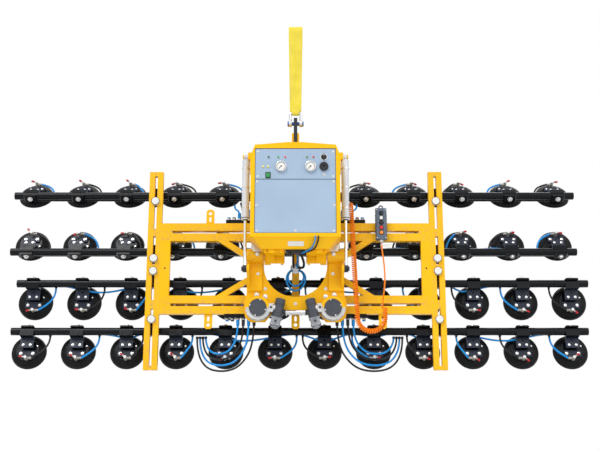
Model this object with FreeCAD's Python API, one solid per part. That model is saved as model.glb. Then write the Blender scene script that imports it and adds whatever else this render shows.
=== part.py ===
"""Vacuum glass panel lifter: a control carrier that hangs from a sling, a powered tilting yoke with two slewing
drives, and a slotted pad frame with four adjustable rows of suction pads for flat or curved glass.

Millimetres. +Z is up, +X to the operator's right, +Y away from the operator, towards the glass.
The origin is the seat of the crane hook in the sling's upper loop."""

import FreeCAD, Part
import math
import os

V = FreeCAD.Vector

# Main references
PIVOT_DROP = 1460.0            # hook seat down to the tilt pivot
PIVOT_BACK = 120.0             # hang line back to the tilt pivot
SLEW_DROP = 55.0               # tilt pivot down to the slewing axis
FRAME_BACK = 110.0             # tilt pivot back to the front face of the pad frame
PIVOT_Y = PIVOT_BACK
PIVOT_Z = -PIVOT_DROP
SLEW_Z = PIVOT_Z - SLEW_DROP
FRAME_Y = PIVOT_Y + FRAME_BACK
RUN = 0.3                      # gap between faces that move past each other
FIT = 0.05                     # radial clearance of a pin in its bore
OVERRUN = 5.0                  # how far a cutter passes the face that it cuts

# Pad frame
BEAM_HEIGHT = 114.0
BEAM_DEPTH = 50.0
BEAM_SLOT = 17.0
UPPER_BEAM_RISE = 233.0        # slewing axis up to the middle of the upper beam
LOWER_BEAM_FALL = 229.0        # slewing axis down to the middle of the lower beam
RAIL_WIDTH = 86.0
RAIL_DEPTH = 40.0
RAIL_RISE = 628.0              # slewing axis up to the rail's top end
RAIL_FALL = 630.0              # slewing axis down to the rail's bottom end
RAIL_SLOT = 17.0
RAIL_BRIDGE = 55.0             # solid stretch of a rail where a beam or its middle is joined
POST_WIDTH = 58.0
CENTRE_POST_WIDTH = 44.0
CENTRE_POST_DEPTH = 30.0
GUSSET_WIDTH = 66.0
LUG_WIDTH = 50.0
LUG_DEPTH = 10.0
LUG_REACH = 92.0               # how far a lug stands past its beam
LUG_HOLE = 11.0
LUG_X = 540.0                  # slewing axis out to a side lug

# Suction rows
TUBE_RADIUS = 24.0
TUBE_WALL = 4.0
TUBE_OVERHANG = 103.25         # last pad's axis to the tube's end
TUBE_BEHIND_RAIL = 55.0        # rail's rear face back to a tube's axis
PAD_PITCH = 308.5
PADS_PER_ROW = 12
PADS_BETWEEN_RAILS = 6
RAIL_BESIDE_PAD = 116.75       # axis of the last pad between the rails out to a rail's middle
PAD_RADIUS = 110.0
PAD_HEIGHT = 38.0
PAD_OFFSET = 105.0             # tube axis to pad axis, across the row
PAD_STANDOFF = 95.0            # tube axis to the lip plane
# Rows from the top: tube above the slewing axis, which side its pads lie, how far the pads' backs lean up in
# degrees, and how far the tube sits along X
ROW_RISES = (495.0, 125.0, -80.0, -383.0)
ROW_SIDES = (1, 1, -1, -1)
ROW_LEAN_ANGLES = (37.0, 22.0, 4.0, 14.0)
ROW_SHIFTS = (-10.0, -13.0, 43.0, 26.0)
CLAMP_OFFSET = 62.0            # tube axis to clamp bolt, along the rail

TUBE_LENGTH = PAD_PITCH * (PADS_PER_ROW - 1) + TUBE_OVERHANG * 2
RAIL_X = PAD_PITCH * (PADS_BETWEEN_RAILS - 1) / 2 + RAIL_BESIDE_PAD
FRAME_HALF_WIDTH = RAIL_X - RAIL_WIDTH / 2
TUBE_Y = FRAME_Y + RAIL_DEPTH + TUBE_BEHIND_RAIL


# Shape helpers
def block(x0, x1, y0, y1, z0, z1):
    return Part.makeBox(x1 - x0, y1 - y0, z1 - z0, V(x0, y0, z0))


def rod(start, along, radius):
    return Part.makeCylinder(radius, along.Length, start, along)


def ring(start, along, outer, inner):
    """A plain bush: a rod with a through bore."""
    over = V(along).normalize() * OVERRUN
    return rod(start, along, outer).cut(rod(start - over, along + over * 2, inner))


def fused(*shapes):
    return shapes[0].fuse(list(shapes[1:])).removeSplitter() if len(shapes) > 1 else shapes[0]


def outline_prism(points, y0, y1):
    """A plate whose outline is given in X and Z, from depth y0 to depth y1."""
    corners = [V(x, y0, z) for x, z in points]
    face = Part.Face(Part.makePolygon(corners + corners[:1]))
    return face.extrude(V(0, y1 - y0, 0))


def side_prism(points, x0, x1):
    """A plate whose outline is given in Y and Z, from x0 to x1."""
    corners = [V(x0, y, z) for y, z in points]
    face = Part.Face(Part.makePolygon(corners + corners[:1]))
    return face.extrude(V(x1 - x0, 0, 0))


def slot_cutter(x0, x1, y0, y1, z0, z1):
    """A cutter with round ends for a slot that runs along X or Z and goes through in Y."""
    along_z = z1 - z0 > x1 - x0
    radius = (x1 - x0 if along_z else z1 - z0) / 2
    through = V(0, y1 - y0, 0)
    if along_z:
        middle = block(x0, x1, y0, y1, z0 + radius, z1 - radius)
        ends = [V(x0 + radius, y0, z) for z in (z0 + radius, z1 - radius)]
    else:
        middle = block(x0 + radius, x1 - radius, y0, y1, z0, z1)
        ends = [V(x, y0, z0 + radius) for x in (x0 + radius, x1 - radius)]
    return fused(middle, *[rod(end, through, radius) for end in ends])


def turned(shape, centre, axis, degrees):
    copy = shape.copy()
    copy.rotate(centre, axis, degrees)
    return copy


def moved(shape, offset):
    copy = shape.copy()
    copy.translate(offset)
    return copy


def mirrored(shape):
    """The piece on the other side of the middle plane."""
    return shape.mirror(V(0, 0, 0), V(1, 0, 0))


def both_sides(shape):
    return [shape, mirrored(shape)]


def bent_path(points):
    """Straight runs joined by tangent arcs, each as large as its two runs allow."""
    share = 0.45
    edges = []
    at = points[0]
    for before, corner, after in zip(points, points[1:], points[2:]):
        back = (before - corner).normalize()
        on = (after - corner).normalize()
        reach = share * min((before - corner).Length, (after - corner).Length)
        turn = math.pi - back.getAngle(on)
        radius = reach / math.tan(turn / 2)
        middle = (back + on).normalize()
        crown = corner + middle * (radius / math.cos(turn / 2) - radius)
        first = corner + back * reach
        last = corner + on * reach
        edges.append(Part.LineSegment(at, first).toShape())
        edges.append(Part.Arc(first, crown, last).toShape())
        at = last
    edges.append(Part.LineSegment(at, points[-1]).toShape())
    return Part.Wire(edges)


def swept(path, radius, start, along):
    section = Part.Wire(Part.makeCircle(radius, start, along))
    return path.makePipeShell([section], True, False)


def tube_along(points, radius):
    return swept(bent_path(points), radius, points[0], points[1] - points[0])


def arc_tube(start, through, end, radius):
    """A hose that stands in one round bow between two fittings."""
    arc = Part.Arc(start, through, end)
    return swept(Part.Wire([arc.toShape()]), radius, start, arc.tangent(arc.FirstParameter)[0])


NODES = {}


def node(name, *solids):
    NODES[name] = Part.makeCompound([s for shape in solids for s in shape.Solids])


# Pad frame: two slotted beams between two slotted side rails, with posts, gussets and lifting lugs
SECTION_WALL = 4.0
BEAM_BRIDGE = 70.0             # solid stretch at each beam end
HUB_HALF = 130.0               # half the solid middle stretch of a beam
POST_HOLE = 6.0
BEAM_BAR = (BEAM_HEIGHT - BEAM_SLOT) / 2
RAIL_BAR = (RAIL_WIDTH - RAIL_SLOT) / 2
# Solid stretches of a rail, above the slewing axis
RAIL_BRIDGES = ((-630.0, -605.0), (-255.0, -200.0), (5.0, 25.0), (205.0, 255.0), (600.0, 628.0))


def hollow_x(x0, x1, y0, y1, z0, z1):
    inner = block(x0 - OVERRUN, x1 + OVERRUN, y0 + SECTION_WALL, y1 - SECTION_WALL,
                  z0 + SECTION_WALL, z1 - SECTION_WALL)
    return block(x0, x1, y0, y1, z0, z1).cut(inner)


def hollow_z(x0, x1, y0, y1, z0, z1):
    inner = block(x0 + SECTION_WALL, x1 - SECTION_WALL, y0 + SECTION_WALL, y1 - SECTION_WALL,
                  z0 - OVERRUN, z1 + OVERRUN)
    return block(x0, x1, y0, y1, z0, z1).cut(inner)


def beam(middle_z):
    low = middle_z - BEAM_HEIGHT / 2
    top = middle_z + BEAM_HEIGHT / 2
    rear = FRAME_Y + BEAM_DEPTH
    half = FRAME_HALF_WIDTH
    bars = [hollow_x(-half, half, FRAME_Y, rear, z, z + BEAM_BAR) for z in (low, top - BEAM_BAR)]
    spans = ((-half, -half + BEAM_BRIDGE), (-HUB_HALF, HUB_HALF), (half - BEAM_BRIDGE, half))
    bridges = [block(a, b, FRAME_Y, rear, low + BEAM_BAR, top - BEAM_BAR) for a, b in spans]
    return bars + bridges


def side_rail():
    low = SLEW_Z - RAIL_FALL
    top = SLEW_Z + RAIL_RISE
    rear = FRAME_Y + RAIL_DEPTH
    left = FRAME_HALF_WIDTH
    right = left + RAIL_WIDTH
    bars = [hollow_z(x, x + RAIL_BAR, FRAME_Y, rear, low, top) for x in (left, right - RAIL_BAR)]
    bridges = [block(left + RAIL_BAR, right - RAIL_BAR, FRAME_Y, rear, SLEW_Z + a, SLEW_Z + b)
               for a, b in RAIL_BRIDGES]
    return bars + bridges


UPPER_BEAM_Z = SLEW_Z + UPPER_BEAM_RISE
LOWER_BEAM_Z = SLEW_Z - LOWER_BEAM_FALL
UPPER_INNER_Z = UPPER_BEAM_Z - BEAM_HEIGHT / 2
LOWER_INNER_Z = LOWER_BEAM_Z + BEAM_HEIGHT / 2
UPPER_TOP_Z = UPPER_BEAM_Z + BEAM_HEIGHT / 2
LOWER_FOOT_Z = LOWER_BEAM_Z - BEAM_HEIGHT / 2


def side_post():
    left = FRAME_HALF_WIDTH - POST_WIDTH
    rear = FRAME_Y + RAIL_DEPTH
    tube = hollow_z(left, FRAME_HALF_WIDTH, FRAME_Y, rear, LOWER_INNER_Z, UPPER_INNER_Z)
    middle = V(left + POST_WIDTH / 2, FRAME_Y - OVERRUN, SLEW_Z)
    return tube.cut(rod(middle, V(0, RAIL_DEPTH + OVERRUN * 2, 0), POST_HOLE))


CENTRE_POST_SETBACK = 12.0     # beam's front face back to the centre post


def centre_post():
    front = FRAME_Y + CENTRE_POST_SETBACK
    half = CENTRE_POST_WIDTH / 2
    return hollow_z(-half, half, front, front + CENTRE_POST_DEPTH, LOWER_INNER_Z, UPPER_INNER_Z)


GUSSET_FAR = 490.0             # slewing axis out to a gusset's far corner on its beam
GUSSET_NEAR = 300.0            # slewing axis out to its inner end, under the slewing ring
GUSSET_END_RISE = 55.0         # slewing axis to its inner end, up or down
GUSSET_DEPTH = 30.0


def gusset(edge_z, side):
    """One diagonal strut in the beams' plane; side is 1 above the slewing axis and -1 below."""
    end = SLEW_Z + side * GUSSET_END_RISE
    points = [(GUSSET_FAR, edge_z), (GUSSET_FAR - GUSSET_WIDTH, edge_z),
              (GUSSET_NEAR - GUSSET_WIDTH, end), (GUSSET_NEAR, end)]
    return outline_prism(points, FRAME_Y, FRAME_Y + GUSSET_DEPTH)


LUG_SETBACK = 14.0             # beam's front face back to a lug
LUG_CHAMFER = 12.0
LUG_SLOT = 14.0
LUG_SLOT_LENGTH = 34.0
LUG_SLOT_FOOT = 12.0           # beam's edge out to a lug's slot


def lug(middle_x, edge_z, side):
    """A flat lug with a slot and a shackle hole, on a beam's outer edge."""
    half = LUG_WIDTH / 2
    front = FRAME_Y + LUG_SETBACK
    rear = front + LUG_DEPTH
    end = edge_z + side * LUG_REACH
    shoulder = end - side * LUG_CHAMFER
    tip = half - LUG_CHAMFER
    plate = outline_prism([(middle_x - half, edge_z), (middle_x + half, edge_z), (middle_x + half, shoulder),
                           (middle_x + tip, end), (middle_x - tip, end), (middle_x - half, shoulder)],
                          front, rear)
    a = edge_z + side * LUG_SLOT_FOOT
    b = a + side * LUG_SLOT_LENGTH
    slot = slot_cutter(middle_x - LUG_SLOT / 2, middle_x + LUG_SLOT / 2, front - OVERRUN, rear + OVERRUN,
                       min(a, b), max(a, b))
    hole_z = end - side * LUG_WIDTH / 2
    hole = rod(V(middle_x, front - OVERRUN, hole_z), V(0, LUG_DEPTH + OVERRUN * 2, 0), LUG_HOLE)
    return plate.cut(fused(slot, hole))


node("upper_beam", *beam(UPPER_BEAM_Z))
node("lower_beam", *beam(LOWER_BEAM_Z))
node("side_rails", *[s for piece in side_rail() for s in both_sides(piece)])
node("frame_posts", *both_sides(side_post()), centre_post())
node("hub_gussets", *both_sides(gusset(UPPER_INNER_Z, 1)), *both_sides(gusset(LOWER_INNER_Z, -1)))
node("frame_lugs", lug(-LUG_X, UPPER_TOP_Z, 1), lug(LUG_X, UPPER_TOP_Z, 1),
     *[lug(x, LOWER_FOOT_Z, -1) for x in (-LUG_X, 0, LUG_X)])

# Vacuum manifolds on the beams' outer edges, the rotary union on the slewing axis
MANIFOLD_IN = 240.0            # slewing axis out to a manifold's inner end
MANIFOLD_OUT = 440.0
MANIFOLD_DEPTH = 40.0
MANIFOLD_HEIGHT = 24.0
PORTS = 6
PORT_RADIUS = 8.0
PORT_HEIGHT = 18.0
PORT_COLLAR = 6.0
PORT_COLLAR_RADIUS = 10.5
PORT_PITCH = (MANIFOLD_OUT - MANIFOLD_IN) / PORTS
MANIFOLD_SETBACK = 4.0
PORT_Y = FRAME_Y + MANIFOLD_SETBACK + MANIFOLD_DEPTH / 2
PORT_X = [MANIFOLD_IN + PORT_PITCH * (i + 0.5) for i in range(PORTS)]


def manifold(edge_z, side):
    front = FRAME_Y + MANIFOLD_SETBACK
    a = edge_z
    b = edge_z + side * MANIFOLD_HEIGHT
    body = block(MANIFOLD_IN, MANIFOLD_OUT, front, front + MANIFOLD_DEPTH, min(a, b), max(a, b))
    ports = []
    for x in PORT_X:
        ports.append(rod(V(x, PORT_Y, b), V(0, 0, side * PORT_HEIGHT), PORT_RADIUS))
        ports.append(rod(V(x, PORT_Y, b), V(0, 0, side * PORT_COLLAR), PORT_COLLAR_RADIUS))
    return fused(body, *ports)


LOWER_PORT_Z = LOWER_FOOT_Z - MANIFOLD_HEIGHT - PORT_HEIGHT
UPPER_PORT_Z = UPPER_TOP_Z + MANIFOLD_HEIGHT + PORT_HEIGHT
node("vacuum_manifolds", *both_sides(manifold(UPPER_TOP_Z, 1)), *both_sides(manifold(LOWER_FOOT_Z, -1)))

UNION_RADIUS = 24.0
UNION_LENGTH = 34.0
UNION_FLANGE = 6.0
UNION_FLANGE_RADIUS = 32.0
union_root_y = FRAME_Y + CENTRE_POST_SETBACK
union_body = fused(rod(V(0, union_root_y, SLEW_Z), V(0, -UNION_LENGTH, 0), UNION_RADIUS),
                   rod(V(0, union_root_y, SLEW_Z), V(0, -UNION_FLANGE, 0), UNION_FLANGE_RADIUS))
node("rotary_union", union_body)

# Slewing drive: the ring gear turns with the pad frame on a race that is bolted to the yoke
GEAR_MODULE = 6.0
RING_TEETH = 100
PINION_TEETH = 18
DRIVE_ANGLE = 40.0             # each pinion's place on the ring, out from straight down
RING_BORE = 250.0
RACE_BORE = 215.0
YOKE_BACK = 45.0               # tilt pivot back to the yoke plate's rear face
YOKE_PLATE = 20.0
RING_SIDE_GAP = 7.0            # yoke plate's rear face to the ring gear
PINION_SIDE_GAP = 10.0         # pinion's end to the ring gear's rear face
TIP_SHARE = 0.85               # tooth height above the pitch line, in modules
ROOT_SHARE = 1.15              # tooth depth below the pitch line, in modules
TOOTH_SHARES = (0.33, 0.20, 0.11)   # half a tooth's width at root, pitch line and tip, in pitches
RACE_FLOOR = 6.0               # rear face of the race short of the beams

YOKE_Y = PIVOT_Y + YOKE_BACK
RING_PITCH_RADIUS = GEAR_MODULE * RING_TEETH / 2
PINION_PITCH_RADIUS = GEAR_MODULE * PINION_TEETH / 2
DRIVE_RADIUS = RING_PITCH_RADIUS + PINION_PITCH_RADIUS
DRIVE_X = DRIVE_RADIUS * math.sin(math.radians(DRIVE_ANGLE))
DRIVE_Z = SLEW_Z - DRIVE_RADIUS * math.cos(math.radians(DRIVE_ANGLE))


def gear(teeth, middle_x, middle_z, first_tooth, y0, y1):
    """A spur gear about a Y axis; first_tooth is a tooth's direction in degrees, from +X towards +Z."""
    pitch_radius = GEAR_MODULE * teeth / 2
    levels = (pitch_radius - ROOT_SHARE * GEAR_MODULE, pitch_radius, pitch_radius + TIP_SHARE * GEAR_MODULE)
    step = 360.0 / teeth
    points = []
    for tooth in range(teeth):
        aim = first_tooth + tooth * step
        flank = [(-share, level) for share, level in zip(TOOTH_SHARES, levels)]
        flank += [(share, level) for share, level in reversed(list(zip(TOOTH_SHARES, levels)))]
        for share, level in flank:
            angle = math.radians(aim + share * step)
            points.append((middle_x + level * math.cos(angle), middle_z + level * math.sin(angle)))
    return outline_prism(points, y0, y1)


ring_front = YOKE_Y + RING_SIDE_GAP
ring_blank = gear(RING_TEETH, 0, SLEW_Z, -90.0, ring_front, FRAME_Y)
ring_bore = rod(V(0, ring_front - OVERRUN, SLEW_Z), V(0, FRAME_Y - ring_front + OVERRUN * 2, 0), RING_BORE)
node("slew_ring_gear", ring_blank.cut(ring_bore))
race_depth = FRAME_Y - RACE_FLOOR - YOKE_Y
node("slew_race", ring(V(0, YOKE_Y, SLEW_Z), V(0, race_depth, 0), RING_BORE - FIT, RACE_BORE))

SHAFT_RADIUS = 15.0
SHAFT_IN_GEARBOX = 40.0


def pinion(side):
    """A pinion with a tooth space on each ring tooth where the two meet, and its shaft into the gearbox."""
    aim = -90.0 + side * DRIVE_ANGLE
    ring_step = 360.0 / RING_TEETH
    pinion_step = 360.0 / PINION_TEETH
    off_tooth = ((aim + 90.0) / ring_step) % 1.0
    first_tooth = aim + 180.0 + off_tooth * pinion_step + pinion_step / 2
    wheel = gear(PINION_TEETH, side * DRIVE_X, DRIVE_Z, first_tooth, ring_front, FRAME_Y - PINION_SIDE_GAP)
    shaft_front = YOKE_Y - YOKE_PLATE - SHAFT_IN_GEARBOX
    shaft = rod(V(side * DRIVE_X, shaft_front, DRIVE_Z), V(0, ring_front - shaft_front, 0), SHAFT_RADIUS)
    return fused(wheel, shaft)


node("left_pinion", pinion(-1))
node("right_pinion", pinion(1))

# Suction rows. Each row is drawn about its tube's axis with its pads upright, then leaned and set in its place.
BACK_PLATE = 6.0
BACK_PLATE_RADIUS = 72.0
BRACKET_HALF = 42.0
BRACKET_FRONT = 26.0           # tube axis to the saddle's front and rear faces
SADDLE_REACH = 36.0            # tube axis to the saddle's far side
STRAP = 8.0
STRAP_BOLT = 11.0
STRAP_BOLT_HEIGHT = 13.0
HANGER_Y = 12.0                # tube axis back to the hanger plate
HANGER = 8.0
HANGER_REACH = 102.0
SPACER_HALF = 26.0
SPACER_FOOT = 62.0
SPACER_REACH = 96.0
FOOT_BAR_HALF = 54.0
FOOT_BAR = 10.0
FOOT_BAR_NEAR = 108.0
FOOT_BAR_FAR = 150.0
VALVE_OUT = 163.0              # tube axis to a valve, across the row
VALVE_RADIUS = 10.5
VALVE_NOSE = 8.0
ELBOW_Y = 30.0                 # tube axis back to a valve's elbow
ELBOW_RADIUS = 8.5
ELBOW_REACH = 34.0
LEVER_HALF_WIDTH = 6.0
LEVER_LENGTH = 44.0
LEVER = 4.0
PLATE_Y = PAD_STANDOFF - PAD_HEIGHT     # tube axis back to a pad's rubber
PLATE_FRONT_Y = PLATE_Y - BACK_PLATE
# A pad's section, from its axis outwards: radius share and height share
PAD_PROFILE_SHARES = ((0, 0), (0.66, 0), (0.80, 0.14), (0.93, 0.34), (1, 0.84), (1, 1), (0.92, 1),
                      (0.84, 0.52), (0.70, 0.40), (0, 0.36))


def suction_pad(x, side):
    middle = V(x, 0, side * PAD_OFFSET)
    corners = [middle + V(r * PAD_RADIUS, PLATE_Y + h * PAD_HEIGHT, 0) for r, h in PAD_PROFILE_SHARES]
    face = Part.Face(Part.makePolygon(corners + corners[:1]))
    return face.revolve(middle, V(0, 1, 0), 360)


def across(x0, x1, y0, y1, side, near, far):
    """A block whose last two sizes run from the tube's axis towards the pads."""
    return block(x0, x1, y0, y1, min(side * near, side * far), max(side * near, side * far))


def pad_bracket(x, side):
    half = BRACKET_HALF
    disc = rod(V(x, PLATE_FRONT_Y, side * PAD_OFFSET), V(0, BACK_PLATE, 0), BACK_PLATE_RADIUS)
    saddle = across(x - half, x + half, -BRACKET_FRONT, BRACKET_FRONT, side, 0, SADDLE_REACH)
    hanger = across(x - half, x + half, HANGER_Y, HANGER_Y + HANGER, side, TUBE_RADIUS, HANGER_REACH)
    spacer = across(x - SPACER_HALF, x + SPACER_HALF, HANGER_Y, PLATE_FRONT_Y, side, SPACER_FOOT, SPACER_REACH)
    foot_bar = across(x - FOOT_BAR_HALF, x + FOOT_BAR_HALF, PLATE_FRONT_Y - FOOT_BAR, PLATE_FRONT_Y, side,
                      FOOT_BAR_NEAR, FOOT_BAR_FAR)
    tube_space = rod(V(x - half - OVERRUN, 0, 0), V((half + OVERRUN) * 2, 0, 0), TUBE_RADIUS)
    return fused(disc, saddle, hanger, spacer, foot_bar).cut(tube_space)


def strap(x, side):
    half = BRACKET_HALF
    plate = across(x - half, x + half, -BRACKET_FRONT, BRACKET_FRONT, side, -TUBE_RADIUS, -TUBE_RADIUS - STRAP)
    bolt = rod(V(x, 0, -side * (TUBE_RADIUS + STRAP)), V(0, 0, -side * STRAP_BOLT_HEIGHT), STRAP_BOLT)
    return fused(plate, bolt)


def pad_valve(x, side, way):
    """A small ball valve on a pad's back, its lever and its elbow; way is the side its hose comes from."""
    at = side * VALVE_OUT
    front = ELBOW_Y - VALVE_RADIUS - VALVE_NOSE
    body = rod(V(x, front, at), V(0, PLATE_FRONT_Y - front, 0), VALVE_RADIUS)
    elbow = rod(V(x, ELBOW_Y, at), V(way * ELBOW_REACH, 0, 0), ELBOW_RADIUS)
    ends = sorted((x - way * LEVER_HALF_WIDTH, x - way * LEVER_LENGTH))
    lever = block(ends[0], ends[1], front, front + LEVER, at - LEVER_HALF_WIDTH, at + LEVER_HALF_WIDTH)
    hub = rod(V(x, front, at), V(0, LEVER, 0), LEVER_HALF_WIDTH)
    stem = block(min(x, ends[0]), max(x, ends[1]), front, front + LEVER, at - LEVER, at + LEVER)
    return fused(body, elbow, lever, hub, stem)


HOSE_RADIUS = 6.0
MAIN_Y = 32.3                  # tube axis back to the two mains
MAIN_APART = 6.15              # tube axis up or down to a main
MAIN_SHORT = 110.0             # tube's end back to a main's end
MAIN_HALF = TUBE_LENGTH / 2 - MAIN_SHORT
BRANCH_X = 100.0               # pad's axis along the tube to where its branch starts
BRANCH_START = 14.0
BRANCH_BOW_X = 92.0
BRANCH_BOW_Y = 22.0
BRANCH_BOW = 104.0


def row_hoses(side, shift):
    """Two mains along the tube and one branch to each pad, taken from the two mains in turn."""
    mains = [rod(V(shift - MAIN_HALF, MAIN_Y, z), V(MAIN_HALF * 2, 0, 0), HOSE_RADIUS)
             for z in (MAIN_APART, -MAIN_APART)]
    branches = []
    for x, way in pad_places(shift):
        start = V(x + way * BRANCH_X, MAIN_Y, side * BRANCH_START)
        bow = V(x + way * BRANCH_BOW_X, BRANCH_BOW_Y, side * BRANCH_BOW)
        end = V(x + way * ELBOW_REACH, ELBOW_Y, side * VALVE_OUT)
        elbow = rod(V(x, ELBOW_Y, side * VALVE_OUT), V(way * (ELBOW_REACH + RUN), 0, 0), ELBOW_RADIUS + RUN)
        branches.append(arc_tube(start, bow, end, HOSE_RADIUS).cut(elbow))
    return mains + branches


def pad_places(shift):
    """Each pad's place along its tube, and the side its hose comes from: always from the middle."""
    places = []
    for i in range(PADS_PER_ROW):
        off = i - (PADS_PER_ROW - 1) / 2
        places.append((shift + off * PAD_PITCH, -1 if off > 0 else 1))
    return places


CARRIAGE = 11.0
CARRIAGE_HALF = 25.0           # half a carriage's width along the tube
CARRIAGE_PLATE_HALF = 38.0
COLLAR_RADIUS = 34.0
NOTCH_HALF = 22.0              # room in a collar for the two mains, half its height
CLAMP_BOLT = 6.0
KNOB_RADIUS = 26.0
KNOB = 15.0
CLAMP_BOSS = 18.0


def row_clamp(x, side, lean):
    """A carriage behind the rail with the collar that holds the tube, and its knob and bolt through the slot."""
    rail_rear = -TUBE_BEHIND_RAIL
    front = rail_rear + RUN
    rear = front + CARRIAGE
    bolt_z = -side * CLAMP_OFFSET
    far = bolt_z - side * KNOB_RADIUS
    plate = block(x - CARRIAGE_PLATE_HALF, x + CARRIAGE_PLATE_HALF, front, rear,
                  min(far, side * COLLAR_RADIUS), max(far, side * COLLAR_RADIUS))
    collar = rod(V(x - CARRIAGE_HALF, 0, 0), V(CARRIAGE_HALF * 2, 0, 0), COLLAR_RADIUS)
    ears = block(x - CARRIAGE_HALF, x + CARRIAGE_HALF, rear, 0, -COLLAR_RADIUS, COLLAR_RADIUS)
    long = CARRIAGE_HALF + OVERRUN
    bore = rod(V(x - long, 0, 0), V(long * 2, 0, 0), TUBE_RADIUS + FIT)
    notch = block(x - long, x + long, 0, COLLAR_RADIUS + OVERRUN, -NOTCH_HALF, NOTCH_HALF)
    notch = turned(notch, V(0, 0, 0), V(1, 0, 0), -lean)
    boss = rod(V(x, rear, bolt_z), V(0, CARRIAGE, 0), CLAMP_BOSS)
    carriage = fused(plate, fused(collar, ears).cut(fused(bore, notch)), boss)
    hole = rod(V(x, front - OVERRUN, bolt_z), V(0, CARRIAGE * 2, 0), CLAMP_BOLT + FIT)
    knob_rear = rail_rear - RAIL_DEPTH - RUN
    bolt_length = CARRIAGE * 2 - OVERRUN + front - knob_rear
    bolt = fused(rod(V(x, knob_rear, bolt_z), V(0, -KNOB, 0), KNOB_RADIUS),
                 rod(V(x, knob_rear, bolt_z), V(0, bolt_length, 0), CLAMP_BOLT))
    return [carriage.cut(hole), bolt]


for number, (rise, side, lean, shift) in enumerate(zip(ROW_RISES, ROW_SIDES, ROW_LEAN_ANGLES, ROW_SHIFTS), 1):
    row_name = "row_%d" % number
    place = V(0, TUBE_Y, SLEW_Z + rise)

    def set_row(shapes):
        return [moved(turned(s, V(0, 0, 0), V(1, 0, 0), -lean), place) for s in shapes]

    tube_start = V(shift - TUBE_LENGTH / 2, 0, 0)
    tube = ring(tube_start, V(TUBE_LENGTH, 0, 0), TUBE_RADIUS, TUBE_RADIUS - TUBE_WALL)
    pieces = [tube]
    pads = []
    for x, way in pad_places(shift):
        pieces += [pad_bracket(x, side), strap(x, side), pad_valve(x, side, way)]
        pads.append(suction_pad(x, side))
    node(row_name + "_bar", *set_row(pieces))
    node(row_name + "_pads", *set_row(pads))
    node(row_name + "_hoses", *set_row(row_hoses(side, shift)))
    clamps = row_clamp(-RAIL_X, side, lean) + row_clamp(RAIL_X, side, lean)
    node(row_name + "_clamps", *[moved(c, place) for c in clamps])

# Carrier housing with its lower hopper, both hollow; sizes are from the tilt pivot
BOX_HALF = 270.0
BOX_FOOT = 66.0
BOX_CROWN = 656.0              # pivot up to the roof's ridge
BOX_SHOULDER_DROP = 81.0       # ridge down to where the sides start to lean in
BOX_CORNER_DROP = 16.0
BOX_CORNER_IN = 24.0           # housing's side in to its upper corner
BOX_CROWN_HALF = 44.0
BOX_FRONT = 240.0              # pivot forward to the front face
BOX_REAR = 10.0                # pivot back to the rear face
BOX_WALL = 4.0
OPENING_IN = 25.0              # housing's side in to the opening's edge
OPENING_FOOT = 88.0
OPENING_DROP = 39.0            # ridge down to the opening's upper edge
SPLIT_DROP = 195.0             # opening's upper edge down to the joint between the two panels
PANEL = 3.0
PANEL_LAP = 8.0                # how far a panel reaches behind the opening's edge
HOPPER_HALF = 200.0
HOPPER_TOP_IN = 12.0           # housing's side in to the hopper's upper edge
HOPPER_FRONT = 185.0
HOPPER_TOP_FRONT = 234.0
HOPPER_REAR = 62.0
HOPPER_FOOT = 4.0

BOX_SHOULDER = BOX_CROWN - BOX_SHOULDER_DROP
BOX_CORNER = BOX_CROWN - BOX_CORNER_DROP
BOX_CORNER_HALF = BOX_HALF - BOX_CORNER_IN
OPENING_TOP = BOX_CROWN - OPENING_DROP
FASCIA_SPLIT = OPENING_TOP - SPLIT_DROP
OPENING_HALF = BOX_HALF - OPENING_IN
HOPPER_TOP_HALF = BOX_HALF - HOPPER_TOP_IN
BOX_Y = PIVOT_Y - BOX_FRONT
FASCIA_Y = BOX_Y + BOX_WALL


def box_outline(inset):
    """The housing's outline from the front, or its inner wall's when inset by the wall."""
    side = [(BOX_HALF - inset, PIVOT_Z + BOX_FOOT + inset), (BOX_HALF - inset, PIVOT_Z + BOX_SHOULDER),
            (BOX_CORNER_HALF - inset, PIVOT_Z + BOX_CORNER - inset),
            (BOX_CROWN_HALF, PIVOT_Z + BOX_CROWN - inset)]
    return side + [(-x, z) for x, z in reversed(side)]


def hopper_solid(inset):
    top_z = PIVOT_Z + BOX_FOOT
    foot_z = PIVOT_Z + HOPPER_FOOT + inset
    rear = PIVOT_Y - HOPPER_REAR - inset

    def level(half, front, z):
        corners = [V(-half, front, z), V(half, front, z), V(half, rear, z), V(-half, rear, z)]
        return Part.makePolygon(corners + corners[:1])

    top = level(HOPPER_TOP_HALF - inset, PIVOT_Y - HOPPER_TOP_FRONT + inset, top_z)
    foot = level(HOPPER_HALF - inset, PIVOT_Y - HOPPER_FRONT + inset, foot_z)
    return Part.makeLoft([foot, top], True, True)


BAR_HALF = 11.0                # half the lifting bar's thickness
BAR_HALF_DEPTH = 42.0
BAR_IN_BOX = 96.0              # ridge down to the bar's lower end
BAR_OVER_EYE = 33.0
EYE_OVER_BOX = 159.0           # ridge up to the shackle's pin
SHACKLE_PIN = 12.0
BAR_FOOT = BOX_CROWN - BAR_IN_BOX
EYE_RISE = BOX_CROWN + EYE_OVER_BOX
BAR_TOP = EYE_RISE + BAR_OVER_EYE

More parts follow.
